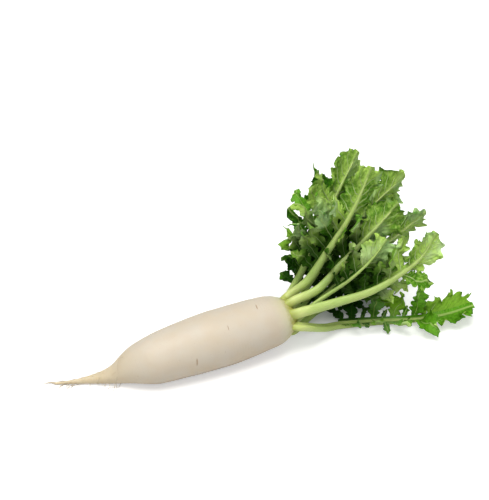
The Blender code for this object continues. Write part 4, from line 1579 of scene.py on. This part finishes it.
def set_stage():
    """The floor, an even white sky and two lamps."""
    mesh = bpy.data.meshes.new("floor")
    half = FLOOR_SIZE / 2
    corners = [(-half, -half), (half, -half), (half, half), (-half, half)]
    mesh.from_pydata([(x, y, -FLOOR_DROP) for x, y in corners], [], [(0, 1, 2, 3)])
    mesh.materials.append(floor_material())
    floor = bpy.data.objects.new("floor", mesh)
    bpy.context.scene.collection.objects.link(floor)

    world = bpy.data.worlds.new("studio")
    world.use_nodes = True
    sky = world.node_tree.nodes["Background"].inputs
    sky["Color"].default_value = (1.0, 1.0, 1.0, 1)
    sky["Strength"].default_value = SKY_STRENGTH
    bpy.context.scene.world = world
    bpy.context.scene.view_settings.view_transform = "Standard"

    for name, place, size, power, colour in LAMPS:
        light = bpy.data.lights.new(name, "AREA")
        light.shape = "DISK"
        light.size = size
        light.energy = power
        light.color = colour
        lamp = bpy.data.objects.new(name, light)
        lamp.location = place
        lamp.rotation_euler = (LAMP_TARGET - Vector(place)).to_track_quat("-Z", "Y").to_euler()
        bpy.context.scene.collection.objects.link(lamp)


def set_camera():
    """The camera looks the way the photograph does, with the crown at its place in the image."""
    azimuth, elevation = math.radians(PHOTO_AZIMUTH), math.radians(PHOTO_ELEVATION)
    right = Vector((math.cos(azimuth), math.sin(azimuth), 0))
    level = Vector((math.sin(azimuth), -math.cos(azimuth), 0))
    back = level * math.cos(elevation) + Vector((0, 0, math.sin(elevation)))
    up = back.cross(right)
    aside, above = ((size / 2 - pixel) * PIXEL for size, pixel in zip(PHOTO_SIZE, CROWN_PIXEL))
    data = bpy.data.cameras.new("camera")
    data.sensor_width = SENSOR
    data.lens = SENSOR * CAMERA_DISTANCE / (PIXEL * max(PHOTO_SIZE))
    data.clip_start = 0.05
    camera = bpy.data.objects.new("camera", data)
    camera.location = root_centre(0) + right * aside - up * above + back * CAMERA_DISTANCE
    camera.rotation_euler = (-back).to_track_quat("-Z", "Y").to_euler()
    bpy.context.scene.collection.objects.link(camera)
    bpy.context.scene.camera = camera


# The whole radish

midlines = {leaf.name: midline_of(leaf) for leaf in LEAVES}
in_place = [root_patch()]
for leaf in LEAVES:
    in_place.append(stalk_patch(leaf, midlines[leaf.name]))
    in_place.append(wing_patch(leaf, midlines[leaf.name]))
lobes = bend_clear(LEAVES, midlines, in_place, wanted_lobes)
leaflets = bend_clear(LEAVES, midlines, in_place, wanted_leaflets)
crowd_shade = CrowdShade(midlines, lobes)

mottle = mottle_group()
veins = leaf_veins_group()
leaf_finishes = (
    stalk_material(mottle, stalk_fibres_group()),
    vein_material(),
    blade_material(UPPER_SIDE, veins, mottle),
    blade_material(LOWER_SIDE, veins, mottle),
)
shown("root_skin", root_skin_mesh(midlines), "root_skin", [root_skin_material(mottle)], "radish_root")
shown("tail_rootlets", rootlets_mesh(), "root_skin", [rootlet_material()])
for leaf in LEAVES:
    add_leaf(leaf, midlines[leaf.name], lobes[leaf.name], leaflets[leaf.name], leaf_finishes, crowd_shade)
set_stage()
set_camera()
